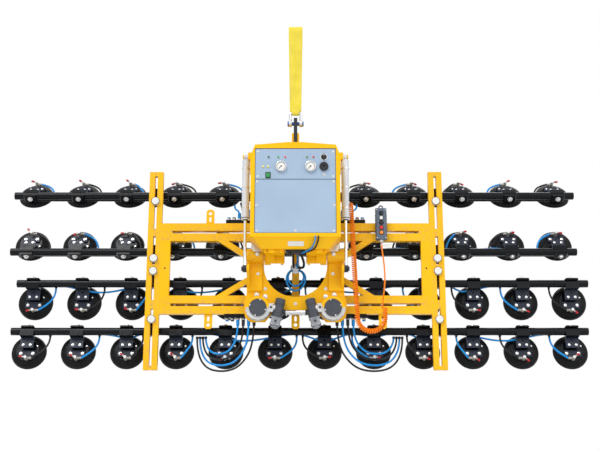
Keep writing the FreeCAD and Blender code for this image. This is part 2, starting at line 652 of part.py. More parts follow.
rear_y = PIVOT_Y + BOX_REAR
shell = outline_prism(box_outline(0), BOX_Y, rear_y)
shell = shell.cut(outline_prism(box_outline(BOX_WALL), BOX_Y + BOX_WALL, rear_y - BOX_WALL))
opening = block(-OPENING_HALF, OPENING_HALF, BOX_Y - OVERRUN, FASCIA_Y + OVERRUN,
                PIVOT_Z + OPENING_FOOT, PIVOT_Z + OPENING_TOP)
bar_slot = block(-BAR_HALF - FIT, BAR_HALF + FIT, -BAR_HALF_DEPTH - FIT, BAR_HALF_DEPTH + FIT,
                 PIVOT_Z + BOX_SHOULDER, PIVOT_Z + BOX_CROWN + OVERRUN)
floor_port = block(-HOPPER_HALF + BOX_WALL, HOPPER_HALF - BOX_WALL, PIVOT_Y - HOPPER_FRONT,
                   PIVOT_Y - HOPPER_REAR - BOX_WALL * 2, PIVOT_Z, PIVOT_Z + BOX_FOOT + BOX_WALL + OVERRUN)
hopper = hopper_solid(0).cut(hopper_solid(BOX_WALL))
GUIDE = 12.0
GUIDE_RISE = 87.0              # ridge up to the top of the guides beside the bar
GUIDE_HALF_DEPTH = 34.0
guides = [block(x, x + GUIDE, -GUIDE_HALF_DEPTH, GUIDE_HALF_DEPTH, PIVOT_Z + BOX_CROWN - BOX_WALL,
                PIVOT_Z + BOX_CROWN + GUIDE_RISE) for x in (BAR_HALF + FIT, -BAR_HALF - FIT - GUIDE)]
node("housing", fused(shell.cut(fused(opening, bar_slot, floor_port)), hopper, *guides))

eye = rod(V(-BAR_HALF - OVERRUN, 0, PIVOT_Z + EYE_RISE), V((BAR_HALF + OVERRUN) * 2, 0, 0), SHACKLE_PIN + FIT)
bar_points = [(-BAR_HALF_DEPTH, PIVOT_Z + BAR_FOOT), (BAR_HALF_DEPTH, PIVOT_Z + BAR_FOOT),
              (BAR_HALF_DEPTH, PIVOT_Z + EYE_RISE), (BAR_HALF_DEPTH / 2, PIVOT_Z + BAR_TOP),
              (-BAR_HALF_DEPTH / 2, PIVOT_Z + BAR_TOP), (-BAR_HALF_DEPTH, PIVOT_Z + EYE_RISE)]
node("lifting_bar", side_prism(bar_points, -BAR_HALF, BAR_HALF).cut(eye))

# Fascia: two panels behind the opening, with lamps, gauges, sounder, selector and power switch
LAMP_RADIUS = 8.0
LAMP_STAND = 7.0
UPPER_LEVEL_DROP = 55.0        # opening's upper edge down to the upper line of lamps
LOWER_LEVEL_DROP = 116.0       # and down to the gauges
SWITCH_DROP = 170.0
UPPER_LAMP_SHARES = (-0.661, -0.424, -0.253, 0.286, 0.445)
LOWER_LAMP_SHARES = (-0.796, -0.673)
GAUGE_SHARES = (-0.355, 0.371)
SOUNDER_SHARE = 0.702
KNOB_SHARE = 0.702
SWITCH_SHARE = -0.673
GAUGE_RADIUS = 33.0
GAUGE_BEZEL = 4.5
GAUGE_STAND = 16.0
GAUGE_RECESS = 7.0
NEEDLE_HUB = 4.0
NEEDLE_LENGTH = 22.0
NEEDLE_TAIL = 8.0
NEEDLE_HALF_WIDTH = 1.3
NEEDLE = 1.4
NEEDLE_REST = 225.0            # direction of a needle at zero, in degrees from +X towards +Z
SOUNDER_RADIUS = 27.0
SOUNDER_STAND = 12.0
SOUNDER_HOLE = 9.0
SELECTOR_RADIUS = 17.0
SELECTOR_STAND = 18.0
SELECTOR_GRIP_HALF = 4.0
SELECTOR_SHAFT = 5.0
SWITCH_HALF_WIDTH = 10.5
SWITCH_HALF_HEIGHT = 13.5
SWITCH_STAND = 8.0
SWITCH_TAIL = 10.0
UPPER_LEVEL = OPENING_TOP - UPPER_LEVEL_DROP
LOWER_LEVEL = OPENING_TOP - LOWER_LEVEL_DROP
SWITCH_LEVEL = OPENING_TOP - SWITCH_DROP
LAMP_PLACES = [(share * OPENING_HALF, UPPER_LEVEL) for share in UPPER_LAMP_SHARES]
LAMP_PLACES += [(share * OPENING_HALF, LOWER_LEVEL) for share in LOWER_LAMP_SHARES]
GAUGE_PLACES = [(share * OPENING_HALF, LOWER_LEVEL) for share in GAUGE_SHARES]
SOUNDER_PLACE = (SOUNDER_SHARE * OPENING_HALF, LOWER_LEVEL)
KNOB_PLACE = (KNOB_SHARE * OPENING_HALF, UPPER_LEVEL)
SWITCH_PLACE = (SWITCH_SHARE * OPENING_HALF, SWITCH_LEVEL)


def on_fascia(place, radius, stand):
    x, z = place
    return rod(V(x, FASCIA_Y, PIVOT_Z + z), V(0, -stand, 0), radius)


def fascia_hole(place, radius):
    x, z = place
    return rod(V(x, FASCIA_Y - OVERRUN, PIVOT_Z + z), V(0, PANEL + OVERRUN * 2, 0), radius)


def rocker(front, rear, spare):
    x, z = SWITCH_PLACE
    return block(x - SWITCH_HALF_WIDTH - spare, x + SWITCH_HALF_WIDTH + spare, front, rear,
                 PIVOT_Z + z - SWITCH_HALF_HEIGHT - spare, PIVOT_Z + z + SWITCH_HALF_HEIGHT + spare)


def panel(z0, z1):
    half = OPENING_HALF + PANEL_LAP
    sheet = block(-half, half, FASCIA_Y, FASCIA_Y + PANEL, PIVOT_Z + z0, PIVOT_Z + z1)
    return sheet.common(outline_prism(box_outline(BOX_WALL + RUN), FASCIA_Y, FASCIA_Y + PANEL))


upper = panel(FASCIA_SPLIT + RUN, OPENING_TOP + PANEL_LAP)
upper = upper.cut(fused(fascia_hole(KNOB_PLACE, SELECTOR_SHAFT + FIT),
                        rocker(FASCIA_Y - OVERRUN, FASCIA_Y + PANEL + OVERRUN, FIT)))
node("control_fascia", upper)
node("access_panel", panel(OPENING_FOOT - PANEL_LAP, FASCIA_SPLIT - RUN))

sounder_x, sounder_z = SOUNDER_PLACE
sounder = on_fascia(SOUNDER_PLACE, SOUNDER_RADIUS, SOUNDER_STAND)
mouth = rod(V(sounder_x, FASCIA_Y - SOUNDER_STAND / 2, PIVOT_Z + sounder_z), V(0, -SOUNDER_STAND, 0), SOUNDER_HOLE)
node("lamps_and_sounder", *[on_fascia(p, LAMP_RADIUS, LAMP_STAND) for p in LAMP_PLACES], sounder.cut(mouth))


def gauge_case(place):
    x, z = place
    dial = FASCIA_Y - GAUGE_STAND + GAUGE_RECESS
    recess = rod(V(x, dial, PIVOT_Z + z), V(0, -GAUGE_STAND, 0), GAUGE_RADIUS - GAUGE_BEZEL)
    return on_fascia(place, GAUGE_RADIUS, GAUGE_STAND).cut(recess)


def needle(place):
    x, z = place
    middle = V(x, 0, PIVOT_Z + z)
    rear = FASCIA_Y - GAUGE_STAND + GAUGE_RECESS - RUN
    hub = rod(V(x, rear, PIVOT_Z + z), V(0, -NEEDLE * 2, 0), NEEDLE_HUB)
    blade = block(x - NEEDLE_TAIL, x + NEEDLE_LENGTH, rear - NEEDLE, rear,
                  PIVOT_Z + z - NEEDLE_HALF_WIDTH, PIVOT_Z + z + NEEDLE_HALF_WIDTH)
    return turned(fused(hub, blade), middle, V(0, -1, 0), NEEDLE_REST)


node("vacuum_gauges", *[gauge_case(p) for p in GAUGE_PLACES])
node("left_needle", needle(GAUGE_PLACES[0]))
node("right_needle", needle(GAUGE_PLACES[1]))

knob_x, knob_z = KNOB_PLACE
knob_rear = FASCIA_Y - RUN
skirt = rod(V(knob_x, knob_rear, PIVOT_Z + knob_z), V(0, -SELECTOR_STAND / 3, 0), SELECTOR_RADIUS)
grip = block(knob_x - SELECTOR_GRIP_HALF, knob_x + SELECTOR_GRIP_HALF, knob_rear - SELECTOR_STAND, knob_rear,
             PIVOT_Z + knob_z - SELECTOR_RADIUS, PIVOT_Z + knob_z + SELECTOR_RADIUS)
shaft = rod(V(knob_x, knob_rear, PIVOT_Z + knob_z), V(0, RUN + PANEL + SELECTOR_SHAFT, 0), SELECTOR_SHAFT)
grip = grip.common(rod(V(knob_x, knob_rear, PIVOT_Z + knob_z), V(0, -SELECTOR_STAND, 0), SELECTOR_RADIUS))
node("selector_knob", fused(skirt, grip, shaft))

node("power_switch", rocker(FASCIA_Y - SWITCH_STAND, FASCIA_Y + PANEL + SWITCH_TAIL, 0))

# Carrier legs with the tilt bearings, side brackets, and the linear actuators
LEG_IN = 75.0
LEG_OUT = 190.0
LEG_FRONT = 50.0
LEG_FOOT = 60.0
LEG_WALL = 14.0
LEG_CHAMFER = 24.0
TILT_PIN = 20.0
TILT_PIN_IN_LEG = 22.0         # length of a tilt pin in its leg
TILT_PIN_PAST = 6.0            # length of a tilt pin past its arm
TILT_PIN_HEAD = 27.0
TILT_PIN_HEAD_LENGTH = 8.0
BRACKET_WIDTH = 44.0
BRACKET_PLATE = 8.0
BRACKET_FOOT = 16.0            # pivot up to a side bracket's lower edge, clear of the yoke's hubs
ACTUATOR_BESIDE_BOX = 36.0     # housing's side out to an actuator's axis
ACTUATOR_FRONT = 100.0         # pivot forward to an actuator's axis
ACTUATOR_DROP = 50.0           # ridge down to an actuator's upper pin
ACTUATOR_EYE = 22.0
ACTUATOR_EYE_HALF = 12.0
ACTUATOR_PIN = 10.0
CYLINDER_RADIUS = 23.0
CYLINDER_FOOT = 203.0
CYLINDER_HEAD = 26.0           # height of the gland at a cylinder's lower end
CYLINDER_HEAD_RADIUS = 25.5
ROD_RADIUS = 10.0
ROD_IN = 100.0                 # length of rod left in the cylinder at full reach
ROD_STROKE = 200.0
ROD_SPARE = 25.0               # room left above a rod when it is drawn in
ROD_END = 100.0                # pivot down to the rod end's eye
ACTUATOR_X = BOX_HALF + ACTUATOR_BESIDE_BOX
ACTUATOR_Y = PIVOT_Y - ACTUATOR_FRONT
ACTUATOR_TOP = BOX_CROWN - ACTUATOR_DROP
BRACKET_OUT = HOPPER_TOP_HALF
BRACKET_IN = BRACKET_OUT - BRACKET_WIDTH
TILT_PIN_IN = LEG_OUT - TILT_PIN_IN_LEG


def carrier_leg():
    """A channel under the housing, open to the front, with a tilt bearing in its outer cheek."""
    top = PIVOT_Z + BOX_FOOT
    low = PIVOT_Z - LEG_FOOT
    front = PIVOT_Y - LEG_FRONT
    rear = PIVOT_Y + BOX_REAR
    cheek = [(front + LEG_CHAMFER, top), (rear, top), (rear, low + LEG_CHAMFER), (rear - LEG_CHAMFER, low),
             (front + LEG_CHAMFER, low), (front, low + LEG_CHAMFER), (front, top - LEG_CHAMFER)]
    outer = side_prism(cheek, LEG_OUT - LEG_WALL - LEG_CHAMFER, LEG_OUT)
    inner = side_prism(cheek, LEG_IN, LEG_IN + LEG_WALL)
    web = block(LEG_IN, LEG_OUT, rear - LEG_WALL, rear, low + LEG_CHAMFER, top)
    bore = rod(V(TILT_PIN_IN - TILT_PIN, PIVOT_Y, PIVOT_Z), V(LEG_OUT, 0, 0), TILT_PIN + FIT)
    return fused(outer, web, inner).cut(bore)


def side_bracket():
    """A bright plate from the housing's lower edge towards the pin, behind the hopper."""
    top = PIVOT_Z + BOX_FOOT
    front = PIVOT_Y - HOPPER_REAR + RUN
    points = [(BRACKET_IN, top), (BRACKET_OUT, top), (BRACKET_OUT, top - LEG_CHAMFER),
              (BRACKET_IN + LEG_CHAMFER, PIVOT_Z + BRACKET_FOOT), (BRACKET_IN, PIVOT_Z + BRACKET_FOOT)]
    return outline_prism(points, front, front + BRACKET_PLATE)


def actuator_mount():
    """The yellow cheek on the housing's side and the pin that an actuator hangs from."""
    reach = ACTUATOR_X - ACTUATOR_EYE_HALF - RUN - BOX_HALF
    cheek_out = ACTUATOR_X - CYLINDER_HEAD_RADIUS - RUN
    low = PIVOT_Z + ACTUATOR_TOP - ACTUATOR_EYE * 5
    top = PIVOT_Z + ACTUATOR_TOP + ACTUATOR_EYE
    cheek = block(BOX_HALF, cheek_out, ACTUATOR_Y - ACTUATOR_EYE, ACTUATOR_Y + ACTUATOR_EYE, low, top)
    tongue = block(BOX_HALF, BOX_HALF + reach, ACTUATOR_Y - ACTUATOR_EYE, ACTUATOR_Y + ACTUATOR_EYE,
                   top - ACTUATOR_EYE * 2 + RUN, top)
    pin_start = V(BOX_HALF + reach / 2, ACTUATOR_Y, PIVOT_Z + ACTUATOR_TOP)
    pin_end = ACTUATOR_X + ACTUATOR_EYE_HALF + RUN + TILT_PIN_HEAD_LENGTH
    pin = rod(pin_start, V(pin_end - pin_start.x, 0, 0), ACTUATOR_PIN)
    head_start = V(pin_end - TILT_PIN_HEAD_LENGTH, ACTUATOR_Y, PIVOT_Z + ACTUATOR_TOP)
    head = rod(head_start, V(TILT_PIN_HEAD_LENGTH, 0, 0), ACTUATOR_PIN + BOX_WALL)
    return fused(cheek, tongue, pin, head)


def actuator_cylinder():
    top = PIVOT_Z + ACTUATOR_TOP
    low = PIVOT_Z + CYLINDER_FOOT
    axis = V(ACTUATOR_X, ACTUATOR_Y, low)
    eye_start = V(ACTUATOR_X - ACTUATOR_EYE_HALF, ACTUATOR_Y, top)
    body = rod(axis, V(0, 0, top - ACTUATOR_EYE - low), CYLINDER_RADIUS)
    head = rod(axis, V(0, 0, CYLINDER_HEAD), CYLINDER_HEAD_RADIUS)
    eye_ring = rod(eye_start, V(ACTUATOR_EYE_HALF * 2, 0, 0), ACTUATOR_EYE)
    neck = block(ACTUATOR_X - ACTUATOR_EYE_HALF, ACTUATOR_X + ACTUATOR_EYE_HALF, ACTUATOR_Y - ACTUATOR_EYE / 2,
                 ACTUATOR_Y + ACTUATOR_EYE / 2, top - ACTUATOR_EYE - OVERRUN, top)
    pin_bore = rod(eye_start - V(OVERRUN, 0, 0), V((ACTUATOR_EYE_HALF + OVERRUN) * 2, 0, 0), ACTUATOR_PIN + FIT)
    rod_bore = rod(axis - V(0, 0, OVERRUN), V(0, 0, OVERRUN + ROD_IN + ROD_STROKE + ROD_SPARE), ROD_RADIUS + FIT)
    return fused(body, head, eye_ring, neck).cut(fused(pin_bore, rod_bore))


def actuator_rod():
    """The bright rod and its end eye; its pin stops just short of the yoke's lug."""
    eye_z = PIVOT_Z - ROD_END
    eye_start = V(ACTUATOR_X - ACTUATOR_EYE_HALF, ACTUATOR_Y, eye_z)
    eye_ring = rod(eye_start, V(ACTUATOR_EYE_HALF * 2, 0, 0), ACTUATOR_EYE)
    pin = rod(eye_start, V(ACTUATOR_EYE_HALF * 2 + TILT_PIN_HEAD_LENGTH, 0, 0), ACTUATOR_PIN + BOX_WALL)
    length = CYLINDER_FOOT + ROD_IN + ROD_END
    return fused(rod(V(ACTUATOR_X, ACTUATOR_Y, eye_z), V(0, 0, length), ROD_RADIUS), eye_ring, pin)


node("carrier_legs", *both_sides(carrier_leg()))
node("side_brackets", *both_sides(side_bracket()))
node("actuator_mounts", *both_sides(actuator_mount()))
node("actuator_cylinders", *both_sides(actuator_cylinder()))
node("actuator_rods", *both_sides(actuator_rod()))

# Yoke: a crescent plate with two hubs on the tilt pins, two lugs for the actuators and two slewing drives
ARM_BESIDE_LEG = 15.0          # leg's outer face out to an arm's inner face
ARM_BESIDE_ACTUATOR = 8.0      # arm's outer face out to an actuator's axis
HUB_BESIDE_LEG = 4.0
YOKE_ARC = 195.0
YOKE_HUB = 44.0
ARM_FOOT = 215.0
ARM_BOX = 17.0
LUG_PLATE = 15.0
LUG_ROUND = 26.0
YOKE_CHAMFER = 12.0
YOKE_WAIST = 228.0             # pivot down to where the plate swells round a drive
# Outline of the plate round a drive, across and up, as shares of the gearbox flange's radius
YOKE_FOOT_SHARES = ((1.109, 0.464), (1.032, -0.587), (0.622, -0.997), (-0.532, -0.997), (-1.096, -0.331))
GEARBOX_RADIUS = 72.0
GEARBOX_DEPTH = 58.0
GEARBOX_FLANGE_RADIUS = 78.0
GEARBOX_FLANGE = 14.0
CAP_RADIUS = 53.0
CAP = 12.0
MOTOR_X = 101.0                # middle plane out to a motor's middle
MOTOR_DROP = 326.0             # pivot down to a motor's middle
MOTOR_Y = 12.0                 # pivot forward to a motor's axis
MOTOR_RADIUS = 31.0
MOTOR_HALF = 60.0
MOTOR_LEAN_ANGLE = 13.0
MOTOR_BAND = 34.0              # length of a motor's thicker end
MOTOR_BAND_RADIUS = 34.0
COUPLING_RADIUS = 26.0
CROSS_TUBE = 15.0
CROSS_TUBE_DROP = 352.0
CROSS_TUBE_HALF = 92.0

YOKE_ARM_IN = LEG_OUT + ARM_BESIDE_LEG
YOKE_ARM_OUT = ACTUATOR_X - ARM_BESIDE_ACTUATOR
HUB_IN = LEG_OUT + HUB_BESIDE_LEG
TILT_PIN_OUT = YOKE_ARM_OUT + TILT_PIN_PAST
yoke_front = YOKE_Y - YOKE_PLATE
half_outline = [(YOKE_ARM_IN, PIVOT_Z + YOKE_HUB), (YOKE_ARM_OUT - YOKE_CHAMFER, PIVOT_Z + YOKE_HUB),
                (YOKE_ARM_OUT, PIVOT_Z + YOKE_HUB - YOKE_CHAMFER), (YOKE_ARM_OUT, PIVOT_Z - YOKE_WAIST)]
half_outline += [(DRIVE_X + across * GEARBOX_FLANGE_RADIUS, DRIVE_Z + up * GEARBOX_FLANGE_RADIUS)
                 for across, up in YOKE_FOOT_SHARES]
plate = outline_prism(half_outline + [(-x, z) for x, z in reversed(half_outline)], yoke_front, YOKE_Y)
plate_through = V(0, YOKE_PLATE + OVERRUN * 2, 0)
arc_space = rod(V(0, yoke_front - OVERRUN, SLEW_Z), plate_through, YOKE_ARC)
top_space = block(-YOKE_ARC, YOKE_ARC, yoke_front - OVERRUN, YOKE_Y + OVERRUN, SLEW_Z, PIVOT_Z + YOKE_HUB * 2)
plate = plate.cut(fused(arc_space, top_space))
for x in (-DRIVE_X, DRIVE_X):
    plate = plate.cut(rod(V(x, yoke_front - OVERRUN, DRIVE_Z), plate_through, SHAFT_RADIUS + FIT))


def yoke_arm():
    hub = rod(V(HUB_IN, PIVOT_Y, PIVOT_Z), V(YOKE_ARM_OUT - HUB_IN, 0, 0), YOKE_HUB)
    neck = block(YOKE_ARM_IN, YOKE_ARM_OUT, PIVOT_Y, yoke_front, PIVOT_Z - YOKE_HUB, PIVOT_Z + YOKE_HUB)
    box = block(YOKE_ARM_IN, YOKE_ARM_OUT, yoke_front - ARM_BOX, yoke_front, PIVOT_Z - ARM_FOOT, PIVOT_Z)
    lug_out = ACTUATOR_X - ACTUATOR_EYE_HALF - RUN
    tip = V(lug_out - LUG_PLATE, ACTUATOR_Y, PIVOT_Z - ROD_END)
    outline = [(yoke_front, PIVOT_Z - YOKE_HUB / 2), (yoke_front, PIVOT_Z - ARM_FOOT),
               (ACTUATOR_Y, PIVOT_Z - ROD_END - LUG_ROUND), (ACTUATOR_Y, PIVOT_Z - ROD_END + LUG_ROUND)]
    lug_plate = side_prism(outline, tip.x, lug_out)
    lug_end = rod(tip, V(LUG_PLATE, 0, 0), LUG_ROUND)
    bore = rod(V(HUB_IN - OVERRUN, PIVOT_Y, PIVOT_Z), V(YOKE_ARM_OUT - HUB_IN + OVERRUN * 2, 0, 0), TILT_PIN + FIT)
    return fused(hub, neck, box, lug_plate, lug_end).cut(bore)


node("yoke_frame", fused(plate, *both_sides(yoke_arm())))
tilt_pin = fused(rod(V(TILT_PIN_IN, PIVOT_Y, PIVOT_Z), V(TILT_PIN_OUT - TILT_PIN_IN, 0, 0), TILT_PIN),
                 rod(V(YOKE_ARM_OUT + RUN, PIVOT_Y, PIVOT_Z), V(TILT_PIN_HEAD_LENGTH, 0, 0), TILT_PIN_HEAD))
node("tilt_pins", *both_sides(tilt_pin))


def drive_gearbox():
    front = yoke_front - GEARBOX_DEPTH
    case = fused(rod(V(DRIVE_X, front, DRIVE_Z), V(0, GEARBOX_DEPTH, 0), GEARBOX_RADIUS),
                 rod(V(DRIVE_X, yoke_front - GEARBOX_FLANGE, DRIVE_Z), V(0, GEARBOX_FLANGE, 0),
                     GEARBOX_FLANGE_RADIUS))
    start = V(DRIVE_X - (CAP_RADIUS + GEARBOX_RADIUS) / 2, PIVOT_Y - MOTOR_Y, DRIVE_Z)
    end = V(MOTOR_X, PIVOT_Y - MOTOR_Y, PIVOT_Z - MOTOR_DROP)
    neck = rod(start, end - start, COUPLING_RADIUS).cut(motor_body(0))
    shaft_hole = rod(V(DRIVE_X, yoke_front - SHAFT_IN_GEARBOX - OVERRUN, DRIVE_Z),
                     V(0, SHAFT_IN_GEARBOX + OVERRUN * 2, 0), SHAFT_RADIUS + FIT)
    return fused(case, neck).cut(shaft_hole)


def motor_body(offset):
    """A leaning motor: a plain barrel with a thicker lower end."""
    middle = V(MOTOR_X, PIVOT_Y - MOTOR_Y, PIVOT_Z - MOTOR_DROP)
    foot = middle - V(0, 0, MOTOR_HALF)
    barrel = rod(foot, V(0, 0, MOTOR_HALF * 2), MOTOR_RADIUS + offset)
    band = rod(foot, V(0, 0, MOTOR_BAND), MOTOR_BAND_RADIUS + offset)
    return turned(fused(barrel, band), middle, V(0, 1, 0), -MOTOR_LEAN_ANGLE)


cap = rod(V(DRIVE_X, yoke_front - GEARBOX_DEPTH, DRIVE_Z), V(0, -CAP, 0), CAP_RADIUS)
cross_tube = rod(V(-CROSS_TUBE_HALF, PIVOT_Y - MOTOR_Y, PIVOT_Z - CROSS_TUBE_DROP), V(CROSS_TUBE_HALF * 2, 0, 0),
                 CROSS_TUBE)
cross_tube = cross_tube.cut(fused(*both_sides(motor_body(0))))
node("drive_gearboxes", *both_sides(drive_gearbox()), cross_tube.Solids[0])
node("drive_motors", *both_sides(motor_body(0)), *both_sides(cap))

# Batteries and vacuum pumps inside the housing, against its rear wall
BATTERY_IN = 40.0
BATTERY_FROM_SIDE = 50.0       # housing's side in to a battery
BATTERY_DEPTH = 66.0
BATTERY_HEIGHT = 175.0
PUMP_RADIUS = 34.0
PUMP_RISE = 360.0              # pivot up to the pumps' axis
PUMP_IN = 45.0
PUMP_LENGTH = 165.0
PUMP_FOOT_HALF = 24.0
inner_rear = PIVOT_Y + BOX_REAR - BOX_WALL
inner_floor = PIVOT_Z + BOX_FOOT + BOX_WALL
battery_out = BOX_HALF - BATTERY_FROM_SIDE


def pump():
    middle_y = inner_rear - PUMP_RADIUS - BOX_WALL
    body = rod(V(PUMP_IN, middle_y, PIVOT_Z + PUMP_RISE), V(PUMP_LENGTH, 0, 0), PUMP_RADIUS)
    middle_x = PUMP_IN + PUMP_LENGTH / 2
    foot = block(middle_x - PUMP_LENGTH / 3, middle_x + PUMP_LENGTH / 3, middle_y, inner_rear,
                 PIVOT_Z + PUMP_RISE - PUMP_FOOT_HALF, PIVOT_Z + PUMP_RISE + PUMP_FOOT_HALF)
    return fused(body, foot)


battery = block(BATTERY_IN, battery_out, inner_rear - BATTERY_DEPTH, inner_rear, inner_floor,
                inner_floor + BATTERY_HEIGHT)
node("power_and_vacuum_unit", *both_sides(battery), *both_sides(pump()))

# Shackle on the lifting bar, and the endless sling through its bow
BOW_HALF = 33.0
BOW_BAR = 9.0
BOW_CORNER = 12.0
BOW_RISE = 70.0                # shackle's pin up to the middle of the bow's crown
SHACKLE_EAR = 21.0
SHACKLE_EAR_HALF = 9.0
SHACKLE_PIN_HALF = 50.0
PIN_HEAD = 17.0
PIN_HEAD_LENGTH = 7.0
SLING = 7.0
SLING_FOOT_HALF = 21.0         # half the gathered sling's width in the bow
SLING_SPREAD_HALF = 36.0       # half its width where it spreads over the bow
SLING_SPREAD = 20.0            # crown's middle up to there
SLING_TOP_HALF = 44.0
HOOK_RADIUS = 34.0             # inside radius of the sling's upper loop
eye_z = PIVOT_Z + EYE_RISE
crown_z = eye_z + BOW_RISE


def bow_path():
    slant = math.sqrt(0.5)
    inner = BOW_HALF - BOW_CORNER
    low = crown_z - BOW_CORNER
    right = V(inner + BOW_CORNER * slant, 0, low + BOW_CORNER * slant)
    left = V(-right.x, 0, right.z)
    lines = [Part.LineSegment(V(BOW_HALF, 0, eye_z), V(BOW_HALF, 0, low)),
             Part.Arc(V(BOW_HALF, 0, low), right, V(inner, 0, crown_z)),
             Part.LineSegment(V(inner, 0, crown_z), V(-inner, 0, crown_z)),
             Part.Arc(V(-inner, 0, crown_z), left, V(-BOW_HALF, 0, low)),
             Part.LineSegment(V(-BOW_HALF, 0, low), V(-BOW_HALF, 0, eye_z))]
    return Part.Wire([line.toShape() for line in lines])


bow = swept(bow_path(), BOW_BAR, V(BOW_HALF, 0, eye_z), V(0, 0, 1))
ears = [rod(V(x - SHACKLE_EAR_HALF, 0, eye_z), V(SHACKLE_EAR_HALF * 2, 0, 0), SHACKLE_EAR)
        for x in (-BOW_HALF, BOW_HALF)]
pin_space = rod(V(-SHACKLE_PIN_HALF, 0, eye_z), V(SHACKLE_PIN_HALF * 2, 0, 0), SHACKLE_PIN + FIT)
node("shackle_bow", fused(bow, *ears).cut(pin_space))
head_x = BOW_HALF + SHACKLE_EAR_HALF + RUN
node("shackle_pin", fused(rod(V(-SHACKLE_PIN_HALF, 0, eye_z), V(SHACKLE_PIN_HALF * 2, 0, 0), SHACKLE_PIN),
                          *[rod(V(x, 0, eye_z), V(PIN_HEAD_LENGTH, 0, 0), PIN_HEAD)
                            for x in (head_x, -head_x - PIN_HEAD_LENGTH)]))


def belt(low_radius, top_z, top_radius):
    """A closed outline round the bow's crown and the hook, in Y and Z."""
    lean = -(top_radius - low_radius) / (top_z - crown_z)
    out = math.sqrt(1 - lean * lean)
    low = V(0, out * low_radius, crown_z + lean * low_radius)
    top = V(0, out * top_radius, top_z + lean * top_radius)
    lines = [Part.LineSegment(low, top),
             Part.Arc(top, V(0, 0, top_z + top_radius), V(0, -top.y, top.z)),
             Part.LineSegment(V(0, -top.y, top.z), V(0, -low.y, low.z)),
             Part.Arc(V(0, -low.y, low.z), V(0, 0, crown_z - low_radius), low)]
    return Part.Face(Part.Wire([line.toShape() for line in lines]))


def belt_solid(offset):
    wide = SLING_TOP_HALF + OVERRUN
    face = belt(BOW_BAR + offset, -HOOK_RADIUS, HOOK_RADIUS + offset)
    return moved(face, V(-wide, 0, 0)).extrude(V(wide * 2, 0, 0))


half_taper = [(SLING_FOOT_HALF, crown_z - BOW_BAR - SLING), (SLING_FOOT_HALF, crown_z),
              (SLING_SPREAD_HALF, crown_z + SLING_SPREAD), (SLING_TOP_HALF, -HOOK_RADIUS * 2),
              (SLING_TOP_HALF, SLING)]
taper = half_taper + [(-x, z) for x, z in reversed(half_taper)]
deep = HOOK_RADIUS + SLING + OVERRUN
band = belt_solid(SLING).cut(belt_solid(0))
node("sling", band.common(outline_prism(taper, -deep, deep)))

# Pendant control with five buttons
PENDANT_X = 536.0
PENDANT_FRONT = 52.0           # pivot back to the pendant's front face
PENDANT_DEPTH = 46.0
PENDANT_HALF = 35.0
PENDANT_TOP = 319.0
PENDANT_FOOT = 119.0
PENDANT_ROUND = 12.0
PENDANT_GLAND = 11.0
PENDANT_GLAND_LENGTH = 20.0
PENDANT_EYE = 15.0
PENDANT_EYE_HOLE = 8.0
PENDANT_EYE_HALF = 5.0
BUTTON_RISES = (287.0, 255.0, 225.0, 193.0, 161.0)
BUTTON_RADIUS = 11.0
BUTTON_STAND = 7.0
BUTTON_DEPTH = 9.0
BUTTON_TRAVEL = 4.0
BUTTON_NAMES = ("tilt_up_button", "tilt_down_button", "slew_button", "stop_button", "release_button")
pendant_y = PIVOT_Y + PENDANT_FRONT
case = block(PENDANT_X - PENDANT_HALF, PENDANT_X + PENDANT_HALF, pendant_y, pendant_y + PENDANT_DEPTH,
             PIVOT_Z + PENDANT_FOOT, PIVOT_Z + PENDANT_TOP)
upright = [e for e in case.Edges if abs(e.tangentAt(e.FirstParameter).z) > 0.9]
case = case.makeFillet(PENDANT_ROUND, upright)
pendant_middle_y = pendant_y + PENDANT_DEPTH / 2
case = fused(case, rod(V(PENDANT_X, pendant_middle_y, PIVOT_Z + PENDANT_FOOT), V(0, 0, -PENDANT_GLAND_LENGTH),
                       PENDANT_GLAND),
             ring(V(PENDANT_X, pendant_middle_y - PENDANT_EYE_HALF, PIVOT_Z + PENDANT_TOP + PENDANT_EYE_HOLE),
                  V(0, PENDANT_EYE_HALF * 2, 0), PENDANT_EYE, PENDANT_EYE_HOLE))
for rise, name in zip(BUTTON_RISES, BUTTON_NAMES):
    at = V(PENDANT_X, pendant_y, PIVOT_Z + rise)
    well = V(0, BUTTON_DEPTH + BUTTON_TRAVEL + RUN, 0)
    case = case.cut(rod(at - V(0, OVERRUN, 0), well + V(0, OVERRUN, 0), BUTTON_RADIUS + FIT))
    node(name, rod(at - V(0, BUTTON_STAND, 0), V(0, BUTTON_STAND + BUTTON_DEPTH, 0), BUTTON_RADIUS))
node("pendant_case", case)

# Pendant cord: a lead from the housing, one coil with its curls down, round and up, and a lead to the pendant
CORD_RADIUS = 4.0
COIL_RADIUS = 12.0             # coil's axis to the middle of its wire
COIL_TURNS = 80.25
COIL_BESIDE_BOX = 73.0         # housing's side out to the coil's top
COIL_TOP = 330.0               # pivot up to the coil's start
COIL_OUT = 32.0                # how far the coil's foot lies outside its top
COIL_DROP = 385.0              # pivot down to the start of the coil's bend
COIL_BACK = 12.0               # pivot back to the coil's plane
COIL_BEND = 84.0
COIL_RISE = 60.0               # length of coil after its bend
LEAD_RUN = 52.0                # straight run after the coil
CORD_SEAT = 0.6                # gap between the cord's end and the pendant's gland
QUARTERS = 4
coil_top = V(BOX_HALF + COIL_BESIDE_BOX, PIVOT_Y + COIL_BACK, PIVOT_Z + COIL_TOP)
coil_foot = V(coil_top.x + COIL_OUT, PIVOT_Y + COIL_BACK, PIVOT_Z - COIL_DROP)
coil_fall = coil_foot - coil_top
coil_slant = math.atan2(coil_fall.x, -coil_fall.z)
bend_length = COIL_BEND * (math.pi - coil_slant)
COIL_LENGTH = coil_fall.Length + bend_length + COIL_RISE


